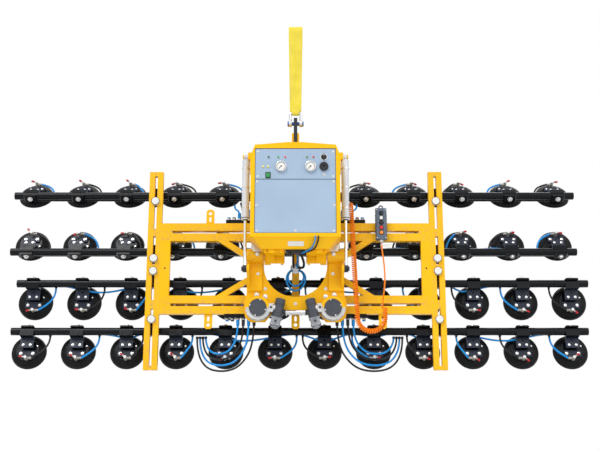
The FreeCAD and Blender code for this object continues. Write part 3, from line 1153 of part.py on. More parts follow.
def coil_axis(s):
    """A point on the coil's axis and its direction, s along from the top."""
    angle = coil_slant - math.pi / 2
    if s <= coil_fall.Length:
        return coil_top + V(coil_fall).normalize() * s, angle
    turn = min((s - coil_fall.Length) / COIL_BEND, math.pi - coil_slant)
    centre = coil_foot + V(-math.sin(angle), 0, math.cos(angle)) * COIL_BEND
    angle += turn
    at = centre - V(-math.sin(angle), 0, math.cos(angle)) * COIL_BEND
    past = max(0.0, s - coil_fall.Length - bend_length)
    return at + V(math.cos(angle), 0, math.sin(angle)) * past, angle


def coil_point(s):
    at, angle = coil_axis(s)
    phase = 2 * math.pi * COIL_TURNS * s / COIL_LENGTH - math.pi / 2
    across_axis = V(-math.sin(angle), 0, math.cos(angle))
    return at + across_axis * (COIL_RADIUS * math.cos(phase)) + V(0, COIL_RADIUS * math.sin(phase), 0)


def coil_tangent(s):
    little = COIL_LENGTH / COIL_TURNS / 1000
    return (coil_point(s + little) - coil_point(s - little)).normalize()


def arc_from(start, heading, end):
    chord = end - start
    along = V(chord).normalize()
    bulge = (heading - along * heading.dot(along)).normalize()
    swing = heading.getAngle(along)
    crown = (start + end) / 2 + bulge * (chord.Length / 2 * math.tan(swing / 2))
    return Part.Arc(start, crown, end).toShape()


def biarc(p0, t0, p1, t1):
    """Two arcs that leave p0 along t0 and reach p1 along t1."""
    chord = p1 - p0
    spread = 2 * (1 - t0.dot(t1))
    lean = chord.dot(t0 + t1)
    reach = (-lean + math.sqrt(lean * lean + spread * chord.dot(chord))) / spread
    middle = (p0 + p1 + (t0 - t1) * reach) / 2
    back = arc_from(p1, t1 * -1, middle)
    first = arc_from(p0, t0, middle)
    return [first, back]


steps = int(round(COIL_TURNS * QUARTERS))
stations = [COIL_LENGTH * i / steps for i in range(steps + 1)]
coil_points = [coil_point(s) for s in stations]
coil_tangents = [coil_tangent(s) for s in stations]
coil_edges = []
for i in range(steps):
    coil_edges += biarc(coil_points[i], coil_tangents[i], coil_points[i + 1], coil_tangents[i + 1])

# Offsets of the straight lead from a plumb line below the pendant's gland: across, forward and down
LEAD_POINTS = ((6.0, 1.0, 95.0), (11.0, 4.0, 190.0), (8.0, 9.0, 285.0))
gland_foot = V(PENDANT_X, pendant_middle_y, PIVOT_Z + PENDANT_FOOT - PENDANT_GLAND_LENGTH - CORD_SEAT)
lead_reach = COIL_BESIDE_BOX / coil_tangents[0].x
lead_in = Part.LineSegment(coil_points[0] - coil_tangents[0] * lead_reach, coil_points[0]).toShape()
lead_out = [coil_points[-1], coil_points[-1] + coil_tangents[-1] * LEAD_RUN]
lead_out += [gland_foot + V(x, -y, -z) for x, y, z in reversed(LEAD_POINTS)] + [gland_foot]
cord_path = Part.Wire([lead_in] + coil_edges + bent_path(lead_out).Edges)
cord = swept(cord_path, CORD_RADIUS, coil_points[0] - coil_tangents[0] * lead_reach, coil_tangents[0])
section = math.pi * CORD_RADIUS * CORD_RADIUS
print("pendant cord: length %.0f, volume over section %.0f" % (cord_path.Length, cord.Volume / section))
curl = COIL_LENGTH / COIL_TURNS
tight = curl * (1 - COIL_RADIUS / COIL_BEND)
print("pendant cord: %.1f from curl to curl, self gap %.2f in its bend" % (curl, tight - CORD_RADIUS * 2))
node("pendant_cord", cord)


def report_path(name, points, radius):
    """Prints each bend's radius beside the hose's diameter."""
    bends = [e.Curve.Radius for e in bent_path(points).Edges if hasattr(e.Curve, "Radius")]
    print("%s: diameter %.0f, bends %s" % (name, radius * 2, " ".join("%.0f" % b for b in bends)))


# Supply hoses from the hopper to the rotary union, and the loops between manifolds and rows
SUPPLY_X = 14.0
SUPPLY_UNION_X = 11.0
SUPPLY_RISES = (34.0, 20.0)    # pivot up to each hose's way out of the hopper
SUPPLY_OUT = 64.0
SUPPLY_FALL_BACK = 44.0
SUPPLY_FALL = 40.0
SUPPLY_SEAT = 2.6              # gap between a slanted hose end's middle and the union
supply = []
for way, rise in zip((1, -1), SUPPLY_RISES):
    x = way * SUPPLY_X
    points = [V(x, PIVOT_Y - HOPPER_REAR, PIVOT_Z + rise), V(x, PIVOT_Y - HOPPER_REAR + SUPPLY_OUT, PIVOT_Z + rise),
              V(x, PIVOT_Y + SUPPLY_FALL_BACK, PIVOT_Z - SUPPLY_FALL),
              V(way * SUPPLY_UNION_X, union_root_y - UNION_LENGTH - SUPPLY_SEAT, SLEW_Z)]
    supply.append(tube_along(points, HOSE_RADIUS))
    report_path("supply hose", points, HOSE_RADIUS)
node("supply_hoses", *supply)

LOOPS = 4                      # loops to the lowest row on each side, and to the top row
LOOP_SEAT = 0.3                # gap between a loop's end and the main that it feeds
LOWER_END_X = 642.0            # row's middle out to the widest loop's end, between two pads
LOWER_END_STEP = 18.0
LOWER_DROP = 300.0
LOWER_DROP_STEP = 34.0
# Points along a lower loop: shares of the way across, of the way back, and of its drop
LOWER_SHARES = ((0.0, 0.0, 0.5), (0.22, 0.0, 0.94), (0.5, 0.04, 1.06), (0.82, 0.3, 0.98), (1.0, 1.0, 0.68))
UPPER_END_X = 395.0
UPPER_END_STEP = 44.0
# Points along an upper loop: shares of the way across and back, and of its rise
UPPER_SHARES = ((0.0, 0.36), (1.0, 0.64))


def main_under(rise, lean):
    """Where a hose from below meets the lower main of a row, at rest."""
    angle = math.radians(lean)
    y = MAIN_Y * math.cos(angle) - MAIN_APART * math.sin(angle)
    z = -MAIN_Y * math.sin(angle) - MAIN_APART * math.cos(angle)
    return TUBE_Y + y, SLEW_Z + rise + z - HOSE_RADIUS - LOOP_SEAT


loops = []
for way in (-1, 1):
    end_y, end_z = main_under(ROW_RISES[-1], ROW_LEAN_ANGLES[-1])
    for i in range(LOOPS):
        start = V(way * PORT_X[i], PORT_Y, LOWER_PORT_Z)
        end = V(ROW_SHIFTS[-1] + way * (LOWER_END_X - i * LOWER_END_STEP), end_y, end_z)
        drop = LOWER_DROP - i * LOWER_DROP_STEP
        points = [start] + [start + V((end.x - start.x) * a, (end.y - start.y) * b, -drop * c)
                            for a, b, c in LOWER_SHARES] + [end]
        loops.append(tube_along(points, HOSE_RADIUS))
        report_path("lower loop", points, HOSE_RADIUS)
    end_y, end_z = main_under(ROW_RISES[0], ROW_LEAN_ANGLES[0])
    for i in range(LOOPS):
        start = V(way * PORT_X[i], PORT_Y, UPPER_PORT_Z)
        end = V(way * (UPPER_END_X - (LOOPS - 1 - i) * UPPER_END_STEP), end_y, end_z)
        span = end - start
        points = [start] + [start + V(span.x * a, span.y * a, span.z * b) for a, b in UPPER_SHARES] + [end]
        loops.append(tube_along(points, HOSE_RADIUS))
node("loop_hoses", *loops)

# Files
os.makedirs("parts", exist_ok=True)
for name, shape in NODES.items():
    shape.exportStep("parts/%s.step" % name)
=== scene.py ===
import bmesh
import bpy
from math import asin, atan2, cos, exp, pi, radians, sin, sqrt
from mathutils import Matrix, Vector
from mathutils.bvhtree import BVHTree


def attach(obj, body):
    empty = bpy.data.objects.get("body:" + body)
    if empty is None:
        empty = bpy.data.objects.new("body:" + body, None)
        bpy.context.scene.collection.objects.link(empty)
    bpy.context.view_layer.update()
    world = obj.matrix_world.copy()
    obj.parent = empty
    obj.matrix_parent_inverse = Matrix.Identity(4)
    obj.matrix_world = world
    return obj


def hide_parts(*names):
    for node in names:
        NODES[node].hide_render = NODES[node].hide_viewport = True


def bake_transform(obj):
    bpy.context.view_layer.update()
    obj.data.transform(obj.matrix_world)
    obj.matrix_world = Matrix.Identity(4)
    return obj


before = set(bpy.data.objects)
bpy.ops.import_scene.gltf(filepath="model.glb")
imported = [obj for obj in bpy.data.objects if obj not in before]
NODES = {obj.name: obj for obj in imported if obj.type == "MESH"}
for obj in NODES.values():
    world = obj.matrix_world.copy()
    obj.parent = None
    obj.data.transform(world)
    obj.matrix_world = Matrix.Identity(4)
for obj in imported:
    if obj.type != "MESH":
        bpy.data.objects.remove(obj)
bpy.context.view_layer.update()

# References shared with the part's source, in metres
PIVOT = Vector((0, 0.12, -1.46))
SLEW_Z = PIVOT.z - 0.055
FRAME_Y = PIVOT.y + 0.11
TUBE_Y = FRAME_Y + 0.095
RAIL_X = 0.888
PITCH = 0.3085
FRONT = (0, -1, 0)
BACK = (0, 1, 0)
UP = (0, 0, 1)
DOWN = (0, 0, -1)
ALONG = (1, 0, 0)
# Row number, tube above the slewing axis, side its pads lie, lean, place along X
ROWS = ((1, 0.495, 1, 37.0, -0.01), (2, 0.125, 1, 22.0, -0.013), (3, -0.08, -1, 4.0, 0.043),
    (4, -0.383, -1, 14.0, 0.026))


def row_frame(rise, lean):
    """A row's own frame: X along the tube, Y to the glass, Z across the row."""
    return Matrix.Translation((0, TUBE_Y, SLEW_Z + rise)) @ Matrix.Rotation(radians(-lean), 4, "X")


# Materials
def material(name, colour, rough=0.45, metal=0.0, shade=0.1, scale=20.0, grain=700.0, bump=0.05, wear=None, coat=0.0,
        dirt=0.12, gloss=0.5):
    """A surface with slow colour drift, uneven gloss, fine grain in its relief, and optional wear on its edges."""
    mat = bpy.data.materials.new(name)
    mat.use_nodes = True
    nt = mat.node_tree
    bsdf = nt.nodes["Principled BSDF"]
    bsdf.inputs["Metallic"].default_value = metal
    bsdf.inputs["Coat Weight"].default_value = coat
    bsdf.inputs["Specular IOR Level"].default_value = gloss
    link = nt.links.new
    where = nt.nodes.new("ShaderNodeTexCoord").outputs["Object"]

    def noise(size, detail):
        n = nt.nodes.new("ShaderNodeTexNoise")
        n.inputs["Scale"].default_value = size
        n.inputs["Detail"].default_value = detail
        link(where, n.inputs["Vector"])
        return n.outputs["Fac"]

    def spread(value, low, high, a, b):
        m = nt.nodes.new("ShaderNodeMapRange")
        m.inputs["From Min"].default_value = low
        m.inputs["From Max"].default_value = high
        m.inputs["To Min"].default_value = a
        m.inputs["To Max"].default_value = b
        link(value, m.inputs["Value"])
        return m.outputs["Result"]

    def mix(factor, a, b):
        m = nt.nodes.new("ShaderNodeMix")
        m.data_type = "RGBA"
        link(factor, m.inputs["Factor"])
        for socket, value in ((m.inputs["A"], a), (m.inputs["B"], b)):
            if isinstance(value, bpy.types.NodeSocket):
                link(value, socket)
            else:
                socket.default_value = (*value, 1)
        return m.outputs["Result"]

    slow = noise(scale, 5)
    dark = [c * (1 - shade) for c in colour]
    light = [min(1, c * (1 + shade * 0.6)) for c in colour]
    paint = mix(spread(slow, 0.3, 0.7, 0, 1), dark, light)
    if wear:
        edge = nt.nodes.new("ShaderNodeNewGeometry").outputs["Pointiness"]
        worn = nt.nodes.new("ShaderNodeMath")
        worn.operation = "MULTIPLY"
        link(spread(edge, 0.62, 0.72, 0, 0.7), worn.inputs[0])
        link(spread(noise(60, 4), 0.42, 0.62, 0, 1), worn.inputs[1])
        paint = mix(worn.outputs[0], paint, wear)
    link(paint, bsdf.inputs["Base Color"])
    link(spread(noise(scale * 5, 6), 0.3, 0.7, max(0.05, rough - dirt), min(1, rough + dirt)),
        bsdf.inputs["Roughness"])
    relief = nt.nodes.new("ShaderNodeBump")
    relief.inputs["Strength"].default_value = bump
    relief.inputs["Distance"].default_value = 0.001
    link(noise(grain, 3), relief.inputs["Height"])
    link(relief.outputs["Normal"], bsdf.inputs["Normal"])
    return mat


def hose_skin(name, colour, rough, shade, gloss):
    return material(name, colour, rough, shade=shade, scale=25, grain=500, gloss=gloss)


def lens(name, colour, rough):
    return material(name, colour, rough, scale=60, bump=0.02, coat=0.5)


YELLOW = material("yellow_paint", (0.94, 0.5, 0.002), 0.42, shade=0.07, scale=3.0, grain=420, wear=(0.3, 0.24, 0.14),
    coat=0.04, gloss=0.2)
GREY = material("fascia_grey", (0.34, 0.45, 0.585), 0.42, shade=0.06, scale=4, grain=900, bump=0.08, gloss=0.35)
BLACK = material("black_coat", (0.0035, 0.0042, 0.006), 0.22, shade=0.25, scale=6, bump=0.06, wear=(0.06, 0.06, 0.06),
    gloss=0.17)
RUBBER = material("pad_rubber", (0.0045, 0.0047, 0.0055), 0.52, shade=0.35, scale=14, grain=260, bump=0.14, dirt=0.2,
    gloss=0.14)
STEEL = material("bright_steel", (0.62, 0.63, 0.64), 0.28, 1.0, scale=30, grain=600)
ZINC = material("zinc_bolts", (0.72, 0.72, 0.7), 0.3, 0.85, shade=0.08, scale=60, grain=900, bump=0.04)
CHROME = material("chrome_rod", (0.8, 0.81, 0.82), 0.1, 1.0, shade=0.03, grain=800, bump=0.01, dirt=0.05)
CAST = material("cast_silver", (0.56, 0.56, 0.555), 0.46, 0.55, shade=0.14, scale=18, grain=240, bump=0.28)
MOTOR = material("motor_grey", (0.06, 0.064, 0.078), 0.42, shade=0.2, scale=12, grain=500, bump=0.12,
    wear=(0.2, 0.2, 0.2), gloss=0.3)
DARK = material("dark_steel", (0.022, 0.026, 0.034), 0.4, 0.2, shade=0.2, scale=9, grain=400, bump=0.1,
    wear=(0.25, 0.25, 0.26), gloss=0.3)
WHITE = material("white_plastic", (0.74, 0.74, 0.72), 0.35, shade=0.05, bump=0.04)
TUBE_GREY = material("actuator_grey", (0.64, 0.67, 0.71), 0.38, 0.1, shade=0.06, scale=8)
BLUE_HOSE = hose_skin("blue_hose", (0.005, 0.255, 0.66), 0.34, 0.14, 0.3)
BLACK_HOSE = hose_skin("black_hose", (0.007, 0.007, 0.009), 0.36, 0.2, 0.25)
ORANGE = material("orange_cord", (0.94, 0.235, 0.004), 0.42, shade=0.12, scale=25, grain=600, bump=0.06, gloss=0.25)
PLASTIC = material("dark_plastic", (0.022, 0.023, 0.027), 0.48, shade=0.15, scale=15, grain=800, bump=0.16, gloss=0.3)
VALVE = material("nickel_brass", (0.34, 0.325, 0.3), 0.38, 0.5, shade=0.2, grain=500, bump=0.06, gloss=0.4)
LEVER_RED = material("lever_red", (0.42, 0.01, 0.012), 0.42, shade=0.12, grain=600, gloss=0.3)
GEAR_GREY = material("gear_unit_grey", (0.27, 0.28, 0.3), 0.46, 0.3, shade=0.3, scale=26, grain=380, bump=0.16,
    wear=(0.6, 0.6, 0.6), dirt=0.3, gloss=0.35)
RED = material("red_plastic", (0.62, 0.02, 0.012), 0.32, scale=30, bump=0.03, coat=0.3)
GREEN = lens("green_lens", (0.01, 0.3, 0.06), 0.18)
DARK_GREEN = lens("dark_green_lens", (0.008, 0.075, 0.03), 0.2)
AMBER = lens("amber_lens", (0.74, 0.68, 0.05), 0.2)
ORANGE_PLASTIC = material("orange_plastic", (0.9, 0.24, 0.02), 0.32, shade=0.08, scale=30, bump=0.03)
DIAL = material("dial_white", (0.8, 0.8, 0.76), 0.5, shade=0.04, scale=40, grain=900, bump=0.02)
RED_LENS = lens("red_lens", (0.55, 0.012, 0.01), 0.18)
SLATE = material("slate_plastic", (0.09, 0.12, 0.165), 0.42, shade=0.12, scale=14, grain=800, bump=0.14)
BLUE_STEEL = material("blue_pin", (0.02, 0.08, 0.3), 0.35, 0.5, shade=0.15, scale=40, grain=500, bump=0.08,
    wear=(0.5, 0.5, 0.5))


# Mesh helpers
def meshes(count):
    return [bmesh.new() for _ in range(count)]


def box(bm, low, high, matrix=Matrix()):
    xs, ys, zs = zip(low, high)
    v = [bm.verts.new(matrix @ Vector((x, y, z))) for x in xs for y in ys for z in zs]
    for a, b, c, d in ((0, 1, 3, 2), (4, 6, 7, 5), (0, 4, 5, 1), (2, 3, 7, 6), (0, 2, 6, 4), (1, 5, 7, 3)):
        bm.faces.new((v[a], v[b], v[c], v[d]))


def border(bm, low, high, wide, y0, y1):
    """Four bars just inside a rectangle, given by its lowest and highest (x, z)."""
    (x0, z0), (x1, z1) = low, high
    for a, b, c, d in ((x0, x0 + wide, z0, z1), (x1 - wide, x1, z0, z1), (x0 + wide, x1 - wide, z0, z0 + wide),
            (x0 + wide, x1 - wide, z1 - wide, z1)):
        box(bm, (a, y0, c), (b, y1, d))


def prism(bm, outline, y0, y1, matrix=Matrix()):
    """An outline of (x, z) pairs carried from y0 to y1."""
    ends = [[bm.verts.new(matrix @ Vector((x, y, z))) for x, z in outline] for y in (y0, y1)]
    bm.faces.new(ends[0])
    bm.faces.new(list(reversed(ends[1])))
    for i in range(len(outline)):
        j = (i + 1) % len(outline)
        bm.faces.new((ends[0][i], ends[1][i], ends[1][j], ends[0][j]))


def lathe(bm, centre, axis, profile, sides=24, matrix=Matrix()):
    """Turns (radius, distance along axis) pairs about an axis; a radius of 0 closes an end."""
    centre, axis = Vector(centre), Vector(axis).normalized()
    u = axis.orthogonal().normalized()
    w = axis.cross(u)
    turn = [2 * pi * i / sides for i in range(sides)]
    rings = []
    for radius, along in profile:
        at = centre + axis * along
        if radius == 0:
            rings.append([bm.verts.new(matrix @ at)])
            continue
        rings.append([bm.verts.new(matrix @ (at + (u * cos(t) + w * sin(t)) * radius)) for t in turn])
    for a, b in zip(rings, rings[1:]):
        for i in range(sides):
            j = (i + 1) % sides
            if len(a) == 1 and len(b) > 1:
                bm.faces.new((a[0], b[i], b[j]))
            elif len(b) == 1 and len(a) > 1:
                bm.faces.new((a[i], b[0], a[j]))
            elif len(a) > 1:
                bm.faces.new((a[i], b[i], b[j], a[j]))


def bolt(bm, at, axis, radius, height, matrix=Matrix()):
    """A hexagon head with its chamfer on a washer."""
    lathe(bm, at, axis, [(radius * 1.5, 0), (radius * 1.5, height * 0.22), (0, height * 0.22)], 24, matrix)
    lathe(bm, at, axis, [(radius * 1.12, height * 0.2), (radius * 1.12, height * 0.86), (radius * 0.9, height),
        (0, height)], 6, matrix)


def screw(bm, at, axis, radius, height, matrix=Matrix()):
    """A round cap head with a socket."""
    lathe(bm, at, axis, [(radius, 0), (radius, height * 0.8), (radius * 0.86, height), (radius * 0.5, height),
        (radius * 0.5, height * 0.4), (0, height * 0.4)], 18, matrix)


def tube(bm, points, radius, sides=12):
    """A round tube through points, its section carried along without twist, with flat ends."""
    points = [Vector(p) for p in points]
    ways = [(b - a).normalized() for a, b in zip(points, points[1:])]
    side = ways[0].orthogonal().normalized()
    turn = [2 * pi * i / sides for i in range(sides)]
    rings = []
    for i, p in enumerate(points):
        way = (ways[max(0, i - 1)] + ways[min(i, len(ways) - 1)]).normalized()
        side = (side - way * side.dot(way)).normalized()
        up = way.cross(side)
        rings.append([bm.verts.new(p + (side * cos(t) + up * sin(t)) * radius) for t in turn])
    for a, b in zip(rings, rings[1:]):
        for i in range(sides):
            j = (i + 1) % sides
            bm.faces.new((a[i], a[j], b[j], b[i]))
    bm.faces.new(list(reversed(rings[0])))
    bm.faces.new(rings[-1])


def piece(name, bm, mat, body="carrier", bevel=0.0, angle=35, parts=()):
    """Turns a built mesh into a finished piece that rides on a body; parts are the nodes that it stands for."""
    bmesh.ops.recalc_face_normals(bm, faces=bm.faces)
    mesh = bpy.data.meshes.new(name)
    bm.to_mesh(mesh)
    bm.free()
    mesh.materials.append(mat)
    mesh.shade_smooth()
    mesh.set_sharp_from_angle(angle=radians(angle))
    obj = bpy.data.objects.new(name, mesh)
    bpy.context.scene.collection.objects.link(obj)
    if bevel:
        soften(obj, bevel)
    if body:
        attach(obj, body)
    if parts:
        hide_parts(*parts)
    return obj


def soften(obj, width, segments=2):
    mod = obj.modifiers.new("edges", "BEVEL")
    mod.width = width
    mod.segments = segments
    mod.limit_method = "ANGLE"
    mod.angle_limit = radians(40)
    mod.harden_normals = True


def route(points):
    """Points along the smooth line that a route's points control."""
    curve = bpy.data.curves.new("route", "CURVE")
    curve.dimensions = "3D"
    curve.resolution_u = 10
    spline = curve.splines.new("NURBS")
    spline.points.add(len(points) - 1)
    for p, co in zip(spline.points, points):
        p.co = (*co, 1)
    spline.order_u = 3
    spline.use_endpoint_u = True
    obj = bpy.data.objects.new("route", curve)
    mesh = bpy.data.meshes.new_from_object(obj)
    line = [v.co.copy() for v in mesh.vertices]
    bpy.data.objects.remove(obj)
    bpy.data.meshes.remove(mesh)
    return line


def length_of(line):
    return sum((b - a).length for a, b in zip(line, line[1:]))


# Nodes that keep their shape: a finish, then softened edges by width
KEPT = {
    YELLOW: ("housing", "carrier_legs", "actuator_mounts", "yoke_frame", "upper_beam", "lower_beam", "side_rails",
        "frame_posts", "hub_gussets", "frame_lugs"),
    GREY: ("control_fascia", "access_panel"),
    DARK: ("lifting_bar",),
    STEEL: ("side_brackets", "tilt_pins", "shackle_bow", "slew_race", "slew_ring_gear", "left_pinion", "right_pinion",
        "rotary_union"),
    CHROME: ("actuator_rods",),
    TUBE_GREY: ("actuator_cylinders",),
    PLASTIC: ("power_and_vacuum_unit", "left_needle", "right_needle", "selector_knob", "tilt_up_button",
        "slew_button"),
    SLATE: ("pendant_case",),
    WHITE: ("tilt_down_button",),
    RED: ("stop_button",),
    ORANGE_PLASTIC: ("release_button",),
    GREEN: ("power_switch",),
    BLUE_STEEL: ("shackle_pin",),
    BLACK: ("vacuum_manifolds", *["row_%d_clamps" % row[0] for row in ROWS]),
}
SOFT_EDGES = {
    0.003: ("housing", "yoke_frame", "upper_beam", "lower_beam", "side_rails", "frame_posts"),
    0.0025: ("pendant_case",),
    0.002: ("hub_gussets", "carrier_legs", "lifting_bar", "tilt_up_button", "tilt_down_button", "slew_button",
        "stop_button", "release_button"),
    0.0015: ("frame_lugs", "vacuum_manifolds", "actuator_mounts", "actuator_cylinders", "actuator_rods", "shackle_pin",
        "tilt_pins"),
    0.0012: ("power_switch",),
    0.001: ("selector_knob",),
}
for mat, names in KEPT.items():
    for name in names:
        mesh = NODES[name].data
        mesh.materials.clear()
        mesh.materials.append(mat)
for width, names in SOFT_EDGES.items():
    for name in names:
        soften(NODES[name], width)

# Camera, light and floor
scene = bpy.context.scene
scene.view_settings.view_transform = "Standard"
camera = bpy.data.objects.new("camera", bpy.data.cameras.new("camera"))
camera.location = (0.0277, -5.893, -2.763)
camera.rotation_euler = (radians(104), 0, 0)
camera.data.lens = 60
camera.data.sensor_width = 36
scene.collection.objects.link(camera)
scene.camera = camera


def lamp(name, strength, elevation, turn, softness):
    sun = bpy.data.objects.new(name, bpy.data.lights.new(name, "SUN"))
    sun.data.energy = strength
    sun.data.angle = radians(softness)
    sun.rotation_euler = (radians(90 - elevation), 0, radians(turn))
    scene.collection.objects.link(sun)


lamp("key", 1.7, 48, -28, 30)
lamp("fill", 0.7, 20, 40, 60)
lamp("back", 0.8, 50, 165, 40)


def seen_directly(nt):
    """1 for rays that look at the background, straight or by way of metal and glass."""
    path = nt.nodes.new("ShaderNodeLightPath")
    total = path.outputs["Is Camera Ray"]
    for name in ("Is Glossy Ray", "Is Transmission Ray"):
        more = nt.nodes.new("ShaderNodeMath")
        more.operation = "MAXIMUM"
        nt.links.new(total, more.inputs[0])
        nt.links.new(path.outputs[name], more.inputs[1])
        total = more.outputs[0]
    return total


world = bpy.data.worlds.new("studio")
world.use_nodes = True
scene.world = world
nt = world.node_tree
white = nt.nodes["Background"]
white.inputs["Color"].default_value = (1, 1, 1, 1)
soft = nt.nodes.new("ShaderNodeBackground")
soft.inputs["Color"].default_value = (0.95, 0.97, 1, 1)
soft.inputs["Strength"].default_value = 0.55
either = nt.nodes.new("ShaderNodeMixShader")
nt.links.new(seen_directly(nt), either.inputs[0])
nt.links.new(soft.outputs[0], either.inputs[1])
nt.links.new(white.outputs[0], either.inputs[2])
nt.links.new(either.outputs[0], nt.nodes["World Output"].inputs["Surface"])

FLOOR_Z = -3.0
floor_bm = bmesh.new()
bmesh.ops.create_grid(floor_bm, x_segments=1, y_segments=1, size=30)
bmesh.ops.translate(floor_bm, verts=floor_bm.verts, vec=(0, 0, FLOOR_Z))
FLOOR = material("pale_floor", (0.86, 0.86, 0.86), 0.7, shade=0.02, scale=0.6, grain=60, bump=0.02)
piece("floor", floor_bm, FLOOR, None)

# Cords: smooth routes near the source's, moved forward where a row would meet them
HOSE = 0.006
CORD = 0.0048
PORTS = (0.2567, 0.29, 0.3233, 0.3567, 0.39, 0.4233)
PORT_Y = 0.254
LOWER_PORT_Z = -1.843
UPPER_PORT_Z = -1.183


def hose(name, points, radius, mat, bodies, node, stiffness="medium", lay="loose", sides=12):
    """A hose along a route, riding on its one body, or on none when its ends lie on two bodies."""
    line = route(points)
    bm = bmesh.new()
    tube(bm, line, radius, sides)
    obj = piece(name, bm, mat, bodies[0] if len(bodies) == 1 else None, parts=(node,), angle=60)
    if len(bodies) == 2:
        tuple(line[0])
        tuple(line[-1])
        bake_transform(obj)
    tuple(line[0])
    length_of(line)


# Pendant cord
COIL = 0.012
TURNS = 80.25
PER_TURN = 14
COIL_TOP = Vector((0.343, 0.116, -1.13))
COIL_FOOT = Vector((0.375, 0.116, -1.845))
COIL_BEND = 0.084
COIL_RISE = 0.06
LEAD_RUN = 0.02
HOUSING_SIDE = 0.27
GLAND_FOOT = Vector((0.536, 0.195, -1.3616))
coil_fall = COIL_FOOT - COIL_TOP
coil_slant = atan2(coil_fall.x, -coil_fall.z)
bend_length = COIL_BEND * (pi - coil_slant)
coil_length = coil_fall.length + bend_length + COIL_RISE


def coil_point(s):
    """A point on the curls, s along the coil's axis from the top."""
    turn = min(max(0, s - coil_fall.length) / COIL_BEND, pi - coil_slant)
    start = coil_slant - pi / 2
    angle = start + turn
    centre = COIL_FOOT + Vector((-sin(start), 0, cos(start))) * COIL_BEND
    across = Vector((-sin(angle), 0, cos(angle)))
    along = Vector((cos(angle), 0, sin(angle)))
    at = COIL_TOP + along * s if s <= coil_fall.length else centre - across * COIL_BEND
    at = at + along * max(0, s - coil_fall.length - bend_length)
    phase = 2 * pi * TURNS * s / coil_length - pi / 2
    return at + across * (COIL * cos(phase)) + Vector((0, COIL * sin(phase), 0))


curls = int(TURNS * PER_TURN)
helix = [coil_point(coil_length * i / curls) for i in range(curls + 1)]
first = (helix[1] - helix[0]).normalized()
last = (helix[-1] - helix[-2]).normalized()
lead_in = helix[0] - first * ((COIL_TOP.x - HOUSING_SIDE) / first.x)
leads = [GLAND_FOOT + Vector(p) for p in ((0.008, -0.098, -0.285), (0.01, -0.091, -0.215), (0.009, -0.062, -0.145),
    (0.004, -0.017, -0.068))]
CORD_ROUTE = [lead_in, *helix, helix[-1] + last * LEAD_RUN, *leads, GLAND_FOOT]
hose("cord_curls", CORD_ROUTE, CORD, ORANGE, ("carrier", "pendant"), "pendant_cord", "limp", "hanging", 8)

# Supply hoses to the rotary union
for number, (way, rise, mat) in enumerate(((1, 0.034, BLUE_HOSE), (-1, 0.02, BLACK_HOSE)), 1):
    x = way * 0.014
    points = [(x, 0.058, PIVOT.z + rise), (x, 0.122, PIVOT.z + rise), (x, 0.164, PIVOT.z - 0.04),
        (way * 0.011, 0.2054, SLEW_Z)]
    hose("supply_hose_%d" % number, points, HOSE, mat, ("carrier", "yoke"), "supply_hoses", "stiff")

# Loops from the manifolds to the lowest and top rows, each ending under the row's lower main
MAIN_Y = 0.0323
MAIN_Z = 0.00615
LOOP_SEAT = 0.0085
LOOP_COUNT = 4
LOWER_END_X = 0.642  # outermost lower loop's end, and the step to the next
LOWER_END_STEP = 0.018
LOWER_DROP = 0.3  # outermost lower loop's depth, and the step to the next
LOWER_DROP_STEP = 0.034
UPPER_END_X = 0.395
UPPER_END_STEP = 0.044
# Shares of a loop's span in X and Y, and of its rise or fall
LOWER_SHARES = ((0, 0, 0.5), (0.22, -0.16, 0.94), (0.5, -0.32, 1.06), (0.82, -0.14, 0.98), (1, 0.9, 0.58))
UPPER_SHARES = ((0, 0, 0.36), (1, 1, 0.64))


def under_main(row):
    number, rise, side, lean, shift = ROWS[row - 1]
    foot = row_frame(rise, lean) @ Vector((shift, MAIN_Y, -MAIN_Z))
    return foot - Vector((0, 0, HOSE + LOOP_SEAT))


sleeves = {1: bmesh.new(), 4: bmesh.new()}
SLEEVE = [(0.0062, 0), (0.0082, 0.0006), (0.0088, 0.003), (0.0088, 0.013), (0.0078, 0.0145), (0.0062, 0.0145)]
for side, way in (("left", -1), ("right", 1)):
    for i in range(LOOP_COUNT):
        mat = BLUE_HOSE if i % 2 else BLACK_HOSE
        lower = under_main(4) + Vector((way * (LOWER_END_X - LOWER_END_STEP * i), 0, 0))
        fall = LOWER_DROP_STEP * i - LOWER_DROP
        upper = under_main(1)
        upper.x = way * (UPPER_END_X - UPPER_END_STEP * (LOOP_COUNT - 1 - i))
        loops = (("lower", 4, LOWER_PORT_Z, lower, fall, LOWER_SHARES, "medium", "hanging"),
            ("upper", 1, UPPER_PORT_Z, upper, None, UPPER_SHARES, "stiff", "taut"))
        for kind, row, port_z, end, depth, shares, stiffness, lay in loops:
            start = Vector((way * PORTS[i], PORT_Y, port_z))
            span = end - start
            rise = depth or span.z
            points = [start, *[start + Vector((span.x * a, span.y * b, rise * c)) for a, b, c in shares], end]
            lathe(sleeves[row], end, DOWN, SLEEVE, 18)
            hose("%s_loop_%s_%d" % (kind, side, i + 1), points, HOSE, mat, ("pad_frame", "row_%d_carriage" % row),
                "loop_hoses", stiffness, lay)

for number, bm in sleeves.items():
    piece("row_%d_loop_sleeves" % number, bm, PLASTIC, "row_%d_carriage" % number)

